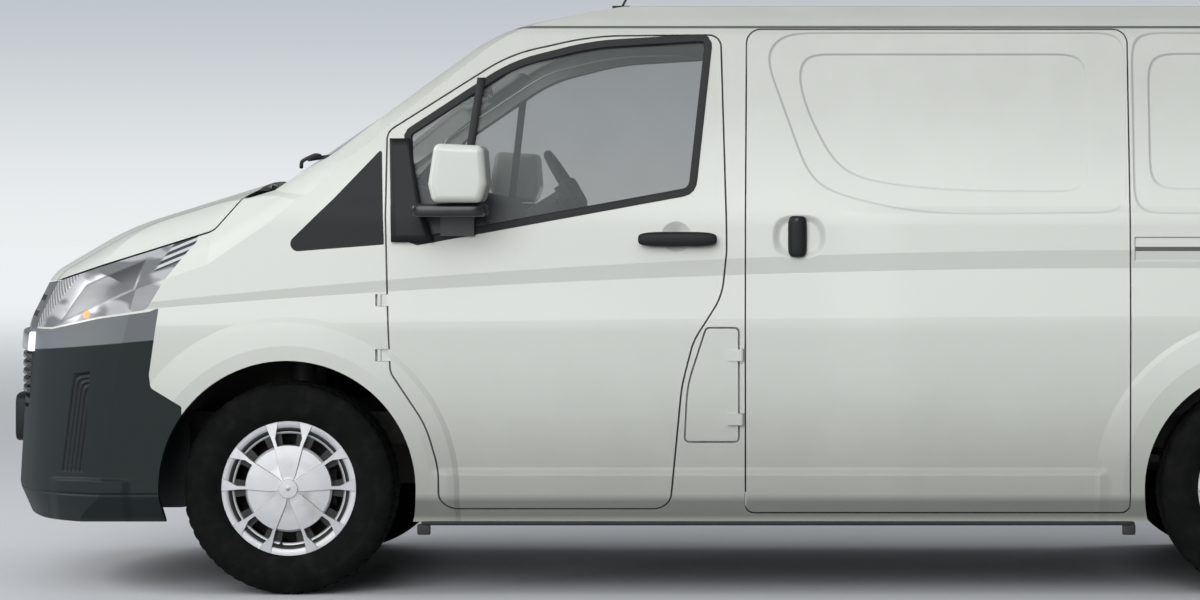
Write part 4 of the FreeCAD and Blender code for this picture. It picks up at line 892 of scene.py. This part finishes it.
COVER_SCALE = 1.033
COVER_WALL = 0.003
VALVE_ASIDE = 0.026
VALVE_BELOW = 0.181
VALVE_RADII = np.array([[0.0045, 0.0045, 0.0036, 0.0036, 0.0028]]).T
VALVE_STEPS = np.array([[0.066, 0.078, 0.079, 0.088, 0.089]]).T
black_steel = finish("wheel_steel", steel_finish, Metallic=0.4)
radius, angle, depth, gone = cover_grid()
cover_faces = np.array(quads(*radius.shape, closed_columns=True))[~gone.ravel()].tolist()
tyre_radius, tyre_angle, tyre_depth = tyre_grid()
tyre_faces = quads(*tyre_radius.shape, closed_columns=True)
for place, (axle, side) in WHEELS.items():
    body = f"wheel_{place}"
    dress(black_steel, body)
    cover_points = on_axle(radius * COVER_SCALE, angle, depth, axle, side)
    cover = solid(f"wheel_cover_{place}", cover_points, cover_faces, silver, 28)
    tyre_points = on_axle(tyre_radius, tyre_angle, tyre_depth, axle, side)
    tread = solid(f"tread_{place}", tyre_points, tyre_faces, tyre_rubber, 50)
    if side < 0:
        cover.data.flip_normals()
    else:
        tread.data.flip_normals()
    carry(thickened(cover, COVER_WALL), body)
    carry(tread, body, [f"tyre_{place}"])
    turn = circle(12)
    stem = np.stack([axle + side * VALVE_ASIDE + VALVE_RADII * np.cos(turn),
                     side * (HALF_TRACK + VALVE_STEPS + 0 * turn),
                     AXLE_HEIGHT - VALVE_BELOW + VALVE_RADII * np.sin(turn)], axis=-1)
    carry(lump(f"valve_{place}", stem, rubber), body)


# Dark parts along the sill: a plastic rail under the body each side, and steel tabs for the jack.
def squared(turn, power):
    """A circle pushed out toward a square: the sign of its cosine and sine times their size to a power."""
    return [np.sign(wave) * np.abs(wave) ** power for wave in (np.cos(turn), np.sin(turn))]


def slab(name, lo, hi, radius, material, columns=40):
    """A block with round corners in plan of its two larger sides and soft edges between its faces.

    Each level is a superellipse of power 8; the first and last levels shrink by the radius as a quarter circle.
    """
    lo, hi = np.array(lo, float), np.array(hi, float)
    thin = int(np.argmin(hi - lo))
    wide = [k for k in range(3) if k != thin]
    edge = min(radius, (hi - lo)[thin] * 0.45)
    t = np.linspace(0, np.pi / 2, 4)
    inset = np.r_[edge * (1 - np.sin(t)), edge * (1 - np.sin(t))[::-1]]
    level = np.r_[lo[thin] + edge * (1 - np.cos(t)), hi[thin] - edge * (1 - np.cos(t))[::-1]]
    turn = circle(columns)
    around = np.stack(squared(turn, 0.25), axis=1)
    half = (hi - lo)[wide] / 2
    points = np.zeros((len(level), columns, 3))
    points[..., thin] = level[:, None]
    for k, axis in enumerate(wide):
        points[..., axis] = (lo + hi)[axis] / 2 + around[None, :, k] * (half[k] - inset[:, None])
    return lump(name, points, material, 35)


for side_name, side in SIDES.items():
    low, high = sorted([side * 0.865, side * 0.915])
    rail = slab(f"sill_rail_{side_name}", (-1.16, low, 0.228), (1.19, high, 0.2415), 0.004, plastic)
    carry(rail)
    low, high = sorted([side * 0.895, side * 0.905])
    for end, tab_x in (("front", -1.150), ("rear", 1.170)):
        tab = slab(f"jacking_tab_{end}_{side_name}", (tab_x - 0.022, low, 0.196), (tab_x + 0.022, high, 0.232),
                   0.004, chassis)
        carry(tab)


# Seats: a single seat for the driver and a bench for two beside it, foam under woven cloth on plain bases. The
# cushions are crowned, with sewn channels and a piped seam round each facing.
def cushion_grid(centre, size, lean, crown, channels, rows=44, columns=64):
    """A stuffed block: long, wide and thick in its own axes, leaning by an angle from level.

    Along it s runs from -1 to 1 and the section shrinks as (1 - s ** 6) ** 0.25. The section is a superellipse of
    power 4. The facing side swells by crown times (1 - s * s)(1 - t * t), less a narrow dip at each channel.
    """
    s = np.sin(np.linspace(-0.5, 0.5, rows) * np.pi)[:, None]
    turn = circle(columns)[None, :]
    t, rise = squared(turn, 0.5)
    end = (1 - np.abs(s) ** 6 * 0.9995) ** 0.25
    pull = 1 - 0.035 * (1 - s ** 2)
    swell = crown * (1 - s ** 2) * (1 - t ** 2)
    for kind, place in channels:
        gap = np.abs(t) - place if kind == "long" else s - place
        swell = swell - 0.09 * np.exp(-(gap / 0.035) ** 2)
    seam = 0.02 * np.exp(-((np.abs(rise) - 0.62) / 0.06) ** 2)
    long = s * size[0] / 2 * (1 - 0.02 * (1 - t ** 2)) + 0 * t
    wide = t * end * size[1] / 2 * pull * (1 + seam)
    thick = rise * end * size[2] / 2 * (1 + np.where(rise > 0, swell, 0))
    cos, sin = math.cos(lean), math.sin(lean)
    return np.stack([centre[0] + long * cos - thick * sin, centre[1] + wide,
                     centre[2] + long * sin + thick * cos], axis=-1)


LEAN_BACK = math.radians(77)
DRIVER_Y = 0.40
BENCH_Y = -0.40
BENCH_PLACE = 0.17
for seat, y, width, channels in (("driver_seat", DRIVER_Y, 0.49, [("long", 0.58), ("cross", 0.55)]),
                                 ("passenger_seat", BENCH_Y, 0.69,
                                  [("long", 0.70), ("long", 0.0), ("cross", 0.55)])):
    parts = [("cushion", (-0.4825, y, 0.905), (0.50, width, 0.135), 0.0, 0.16, 0.85),
             ("backrest", (-0.198, y, 1.252), (0.61, width - 0.012, 0.115), LEAN_BACK, 0.20, 0.8)]
    rests = [y] if seat == "driver_seat" else [y - BENCH_PLACE, y + BENCH_PLACE]
    parts += [(f"headrest_{k}", (-0.1086, rest_y, 1.615), (0.145, 0.25, 0.082), LEAN_BACK, 0.2, 0.9)
              for k, rest_y in enumerate(rests)]
    for part, centre, size, lean, crown, fill in parts:
        lines = channels if part in ("cushion", "backrest") else []
        made = lump(f"{seat}_{part}", cushion_grid(centre, size, lean, crown, lines), seat_cloth, 80)
        carry(made, stands_for=[seat] if part == "cushion" else [])
    half = width / 2 - 0.03
    base = slab(f"{seat}_base", (-0.6875, y - half, 0.621), (-0.2575, y + half, 0.845), 0.02, plastic)
    carry(base)


# Rods and tubes: plated posts under the head rests, and the two wipers parked at the foot of the windscreen.
def tube(name, path, radius, material, sides=10, steps=6):
    """A round bar along a path of points whose corners are eased; its ends are capped flat.

    The path is refined by a moving average, and each ring stands square to the path's direction there.
    """
    path = np.array(path, float)
    t = np.linspace(0, len(path) - 1, (len(path) - 1) * steps + 1)
    line = np.stack([np.interp(t, np.arange(len(path)), path[:, k]) for k in range(3)], axis=1)
    for _ in range(steps // 2):
        line[1:-1] = (line[:-2] + line[1:-1] * 2 + line[2:]) / 4
    ahead = np.gradient(line, axis=0)
    ahead /= np.linalg.norm(ahead, axis=1)[:, None]
    guide = np.array([0.0, 0.0, 1.0]) if abs(ahead[:, 2]).mean() < 0.7 else np.array([1.0, 0.0, 0.0])
    first = np.cross(ahead, guide)
    first /= np.linalg.norm(first, axis=1)[:, None]
    second = np.cross(ahead, first)
    turn = circle(sides)
    radii = np.broadcast_to(np.asarray(radius, float), (len(line),))
    ring = first[:, None] * np.cos(turn)[None, :, None] + second[:, None] * np.sin(turn)[None, :, None]
    return lump(name, line[:, None] + ring * radii[:, None, None], material)


SCREEN_FOOT_X = NOSE + 0.992
SCREEN_FOOT_Z = 1.395
SCREEN_SLOPE = 1.459
WIPER_Z = 1.425


def screen_place(y, height, proud):
    """A place on the windscreen: it slopes back evenly with height, its plan is an arc, proud is square to it."""
    back = SCREEN_FOOT_X + (height - SCREEN_FOOT_Z) * SCREEN_SLOPE + y * y / 12
    return (back - 0.565 * proud, y, height + 0.825 * proud)


for seat, places in (("driver", [DRIVER_Y]), ("bench", [BENCH_Y - BENCH_PLACE, BENCH_Y + BENCH_PLACE])):
    for k, y in enumerate(places):
        for hand, post_y in (("inner", y - 0.05), ("outer", y + 0.05)):
            path = [(-0.142, post_y, 1.47), (-0.113, post_y, 1.60)]
            post = tube(f"{seat}_headrest_post_{k}_{hand}", path, 0.006, chrome, 8, 3)
            carry(post)
for name, spindle, tip in (("driver", 0.10, 0.70), ("passenger", -0.56, 0.04)):
    middle = (spindle + tip) / 2
    path = [screen_place(spindle, 1.405, 0.004), screen_place(spindle + 0.02, 1.412, 0.022),
            screen_place(middle, 1.432, 0.028), screen_place(middle + 0.06, 1.436, 0.020)]
    arm = tube(f"wiper_arm_{name}", path, 0.0065, gloss_black)
    path = [screen_place(y, WIPER_Z + 0.018 * abs(y - spindle) / 0.6, 0.012)
            for y in np.linspace(spindle + 0.02, tip, 7)]
    blade = tube(f"wiper_blade_{name}", path, 0.007, rubber)
    for piece in (arm, blade):
        carry(piece)


# Number plates: blank pressed plates in dark holders, one on the bumper and one on the tailgate.
def plate_finish(at):
    film = at.noise(20.0, 3.0)
    return {"Base Color": film.mix((0.70, 0.70, 0.68), (0.60, 0.60, 0.57)), "Roughness": film * 0.2 + 0.3,
            "Normal": film.bump(0.0003, 0.4)}


blank = finish("blank_plate", plate_finish)
PLATES = [("front", "van_body", NOSE + 0.0025, NOSE + 0.048, NOSE + 0.001, 0.462, 0.632),
          ("rear", "tailgate", TAIL - 0.024, TAIL - 0.004, TAIL - 0.0045, 1.045, 1.200)]
for end, body, x0, x1, face_x, z0, z1 in PLATES:
    holder = slab(f"plate_holder_{end}", (x0, -0.28, z0), (x1, 0.28, z1), 0.004, plastic)
    carry(holder, body)
    pressed = slab(f"number_plate_{end}", (face_x, -0.26, z0 + 0.02), (face_x + 0.002, 0.26, z1 - 0.02), 0.001,
                   blank)
    carry(pressed, body)


# Nose: a bright bar over five black slats in the mouth of the bumper, all following the plan arc of the nose.
BAR_THICKNESS = 0.045
BAR_ROUNDING = 0.006
SLAT_FOOT = 0.648
SLAT_PITCH = 0.0285
SLAT_HEIGHT = 0.017


def nose_bar(name, low, high, reach, half_width, lean, material):
    """A bar across the nose, whose face follows x = reach + 0.288 y y.

    The section is a rounded rectangle whose upper edge is set back by the given lean.
    """
    y = np.linspace(-half_width, half_width, 61)[:, None]
    turn = circle(24)[None, :]
    across, rise = squared(turn, 0.35)
    middle = reach + 0.288 * y ** 2 + BAR_THICKNESS / 2
    x = middle + across * (BAR_THICKNESS / 2 - BAR_ROUNDING) + lean * rise
    z = (low + high) / 2 + rise * (high - low) / 2
    return lump(name, np.stack([x, y + 0 * x, z + 0 * x], axis=-1), material)


carry(nose_bar("grille_bar", 0.790, 0.856, NOSE + 0.002, 0.63, 0.003, chrome))
for k in range(5):
    low = SLAT_FOOT + SLAT_PITCH * k
    slat = nose_bar(f"grille_slat_{k}", low, low + SLAT_HEIGHT, NOSE + 0.004, 0.575, 0.001, gloss_black)
    carry(slat)


# Underneath and behind the wheels: a black splash panel ahead of each front wheel, and a brake disc that closes
# the view through each wheel.
DISC_RADII = np.array([0.062, 0.062, 0.1975, 0.1980, 0.1980, 0.1975])[:, None]
DISC_FACES = np.array([0.757, 0.766, 0.766, 0.7655, 0.7575, 0.757])[:, None]
for side_name, side in reversed(SIDES.items()):
    splash = slab(f"splash_panel_{side_name}", (-2.125, side * 0.60 - 0.004, 0.262),
                  (-1.968, side * 0.60 + 0.004, 0.56), 0.003, plastic)
    carry(splash)
for place, (axle, side) in WHEELS.items():
    end, side_name = place.split("_")
    turn = circle(96)[None, :]
    points = np.stack([axle + DISC_RADII * np.sin(turn), side * DISC_FACES + 0 * turn,
                       AXLE_HEIGHT + DISC_RADII * np.cos(turn)], axis=-1)
    disc_faces = quads(*points.shape[:2], closed_rows=True, closed_columns=True)
    disc = solid(f"brake_disc_{place}", points, disc_faces, black_steel)
    body = f"knuckle_{side_name}" if end == "front" else "van_body"
    carry(disc, body)


# The arm of each outside mirror: a black moulding under the shell that reaches forward to the sail.
for side_name, side in SIDES.items():
    low, high = sorted([side * 0.965, side * 1.155])
    arm = slab(f"mirror_arm_{side_name}", (-1.168, low, 1.244), (-0.926, high, 1.286), 0.012, gloss_black)
    carry(arm, f"cab_door_{side_name}")


# Cab fittings seen through the glass: padded sun visors, grab handles on the front posts, the column's switches,
# the inner mirror, a plain horn pad, the gear lever, the radio and air vents, in moulded plastic or vinyl.
def vinyl_finish(at):
    grain = at.noise(500.0, 2.0)
    return {"Base Color": at.noise(8.0).mix((0.30, 0.31, 0.31), (0.36, 0.37, 0.36)),
            "Roughness": grain * 0.2 + 0.55, "Normal": grain.bump(0.0004, 0.5)}


vinyl = finish("trim_vinyl", vinyl_finish)
COLUMN_Y = 0.38
LEVER_Y = 0.10
VISOR_LEAN = math.radians(34.6)
PAD_LEAN = math.radians(119.4)
for side_name, side in SIDES.items():
    visor = cushion_grid((-0.99, side * 0.42, 1.705), (0.17, 0.38, 0.026), VISOR_LEAN, 0.25, [], 24, 40)
    carry(lump(f"sun_visor_{side_name}", visor, vinyl, 80))
    path = [(-1.175, side * 0.735, 1.645), (-1.15, side * 0.70, 1.640), (-1.00, side * 0.68, 1.735),
            (-0.98, side * 0.705, 1.765)]
    carry(tube(f"post_handle_{side_name}", path, 0.013, vinyl, 12, 8))
    path = [(-0.806, COLUMN_Y + side * 0.03, 1.288), (-0.800, COLUMN_Y + side * 0.10, 1.300),
            (-0.795, COLUMN_Y + side * 0.165, 1.312)]
    stalk = tube(f"column_switch_{side_name}", path, [0.005] * 7 + [0.009] * 6, gloss_black)
    carry(stalk)
backing = cushion_grid((-1.03, 0.0, 1.690), (0.065, 0.25, 0.03), math.radians(100), 0.2, [], 20, 40)
carry(lump("inner_mirror", backing, gloss_black, 80))
path = [(-1.035, 0, 1.69), (-1.05, 0, 1.73), (-1.053, 0, 1.762)]
carry(tube("inner_mirror_stem", path, 0.007, gloss_black))
pad = cushion_grid((-0.738, COLUMN_Y, 1.3255), (0.115, 0.15, 0.040), PAD_LEAN, 0.3, [], 24, 40)
carry(lump("horn_pad", pad, rubber, 80), "steering_wheel")
path = [(-0.99, LEVER_Y, 1.02), (-0.93, LEVER_Y, 1.05), (-0.885, LEVER_Y, 1.13)]
carry(tube("gear_lever", path, 0.007, chrome))
knob = cushion_grid((-0.882, LEVER_Y, 1.150), (0.055, 0.042, 0.042), math.radians(60), 0.0, [], 16, 24)
carry(lump("gear_knob", knob, gloss_black, 80))
radio = slab("radio_panel", (-0.985, -0.12, 1.040), (-0.956, 0.04, 1.165), 0.006, gloss_black)
carry(radio)
for k, (low, high) in enumerate([(-0.80, -0.66), (-0.13, -0.05), (-0.03, 0.05), (0.66, 0.80)]):
    vent = slab(f"air_vent_{k}", (-0.957, low, 1.178), (-0.944, high, 1.232), 0.004, gloss_black)
    carry(vent)
    for row in range(4):
        z = 1.187 + row * 0.012
        vane = slab(f"air_vent_{k}_blade_{row}", (-0.948, low + 0.008, z), (-0.939, high - 0.008, z + 0.003),
                    0.001, plastic, 24)
        carry(vane)


# Tail: a wiper parked along the foot of the back glass, a lift grip over the plate and a high brake lamp.
TAIL_X = 2.591
TAIL_LEAN = 0.137
TAIL_ARC = 0.128


def tail_place(y, height, proud):
    """A place on the tailgate: it leans in evenly with height, and its plan is an arc."""
    return (TAIL_X - TAIL_LEAN * (height - 1.3) - TAIL_ARC * y * y + proud, y, height)


path = [tail_place(0.0, 1.262, 0.004), tail_place(0.03, 1.268, 0.022), tail_place(0.24, 1.318, 0.020),
        tail_place(0.30, 1.326, 0.010)]
rear_arm = tube("rear_wiper_arm", path, 0.007, gloss_black)
path = [tail_place(y, 1.318 + 0.03 * (y - 0.05), 0.003) for y in np.linspace(0.05, 0.5, 7)]
rear_blade = tube("rear_wiper_blade", path, 0.007, rubber)
hub = cushion_grid(tail_place(0.0, 1.262, 0.008), (0.03, 0.05, 0.05), 0.0, 0.0, [], 16, 24)
rear_hub = lump("rear_wiper_hub", hub, gloss_black, 80)
lift_grip = slab("tailgate_grip", (TAIL - 0.030, -0.17, 1.212), (TAIL - 0.012, 0.17, 1.240), 0.005, plastic)
for piece in (rear_arm, rear_blade, rear_hub, lift_grip):
    carry(piece, "tailgate")
brake_lamp = slab("high_brake_lamp", (2.496, -0.13, 1.868), (2.519, 0.13, 1.888), 0.004, tail_lens)
carry(brake_lamp, "tailgate")
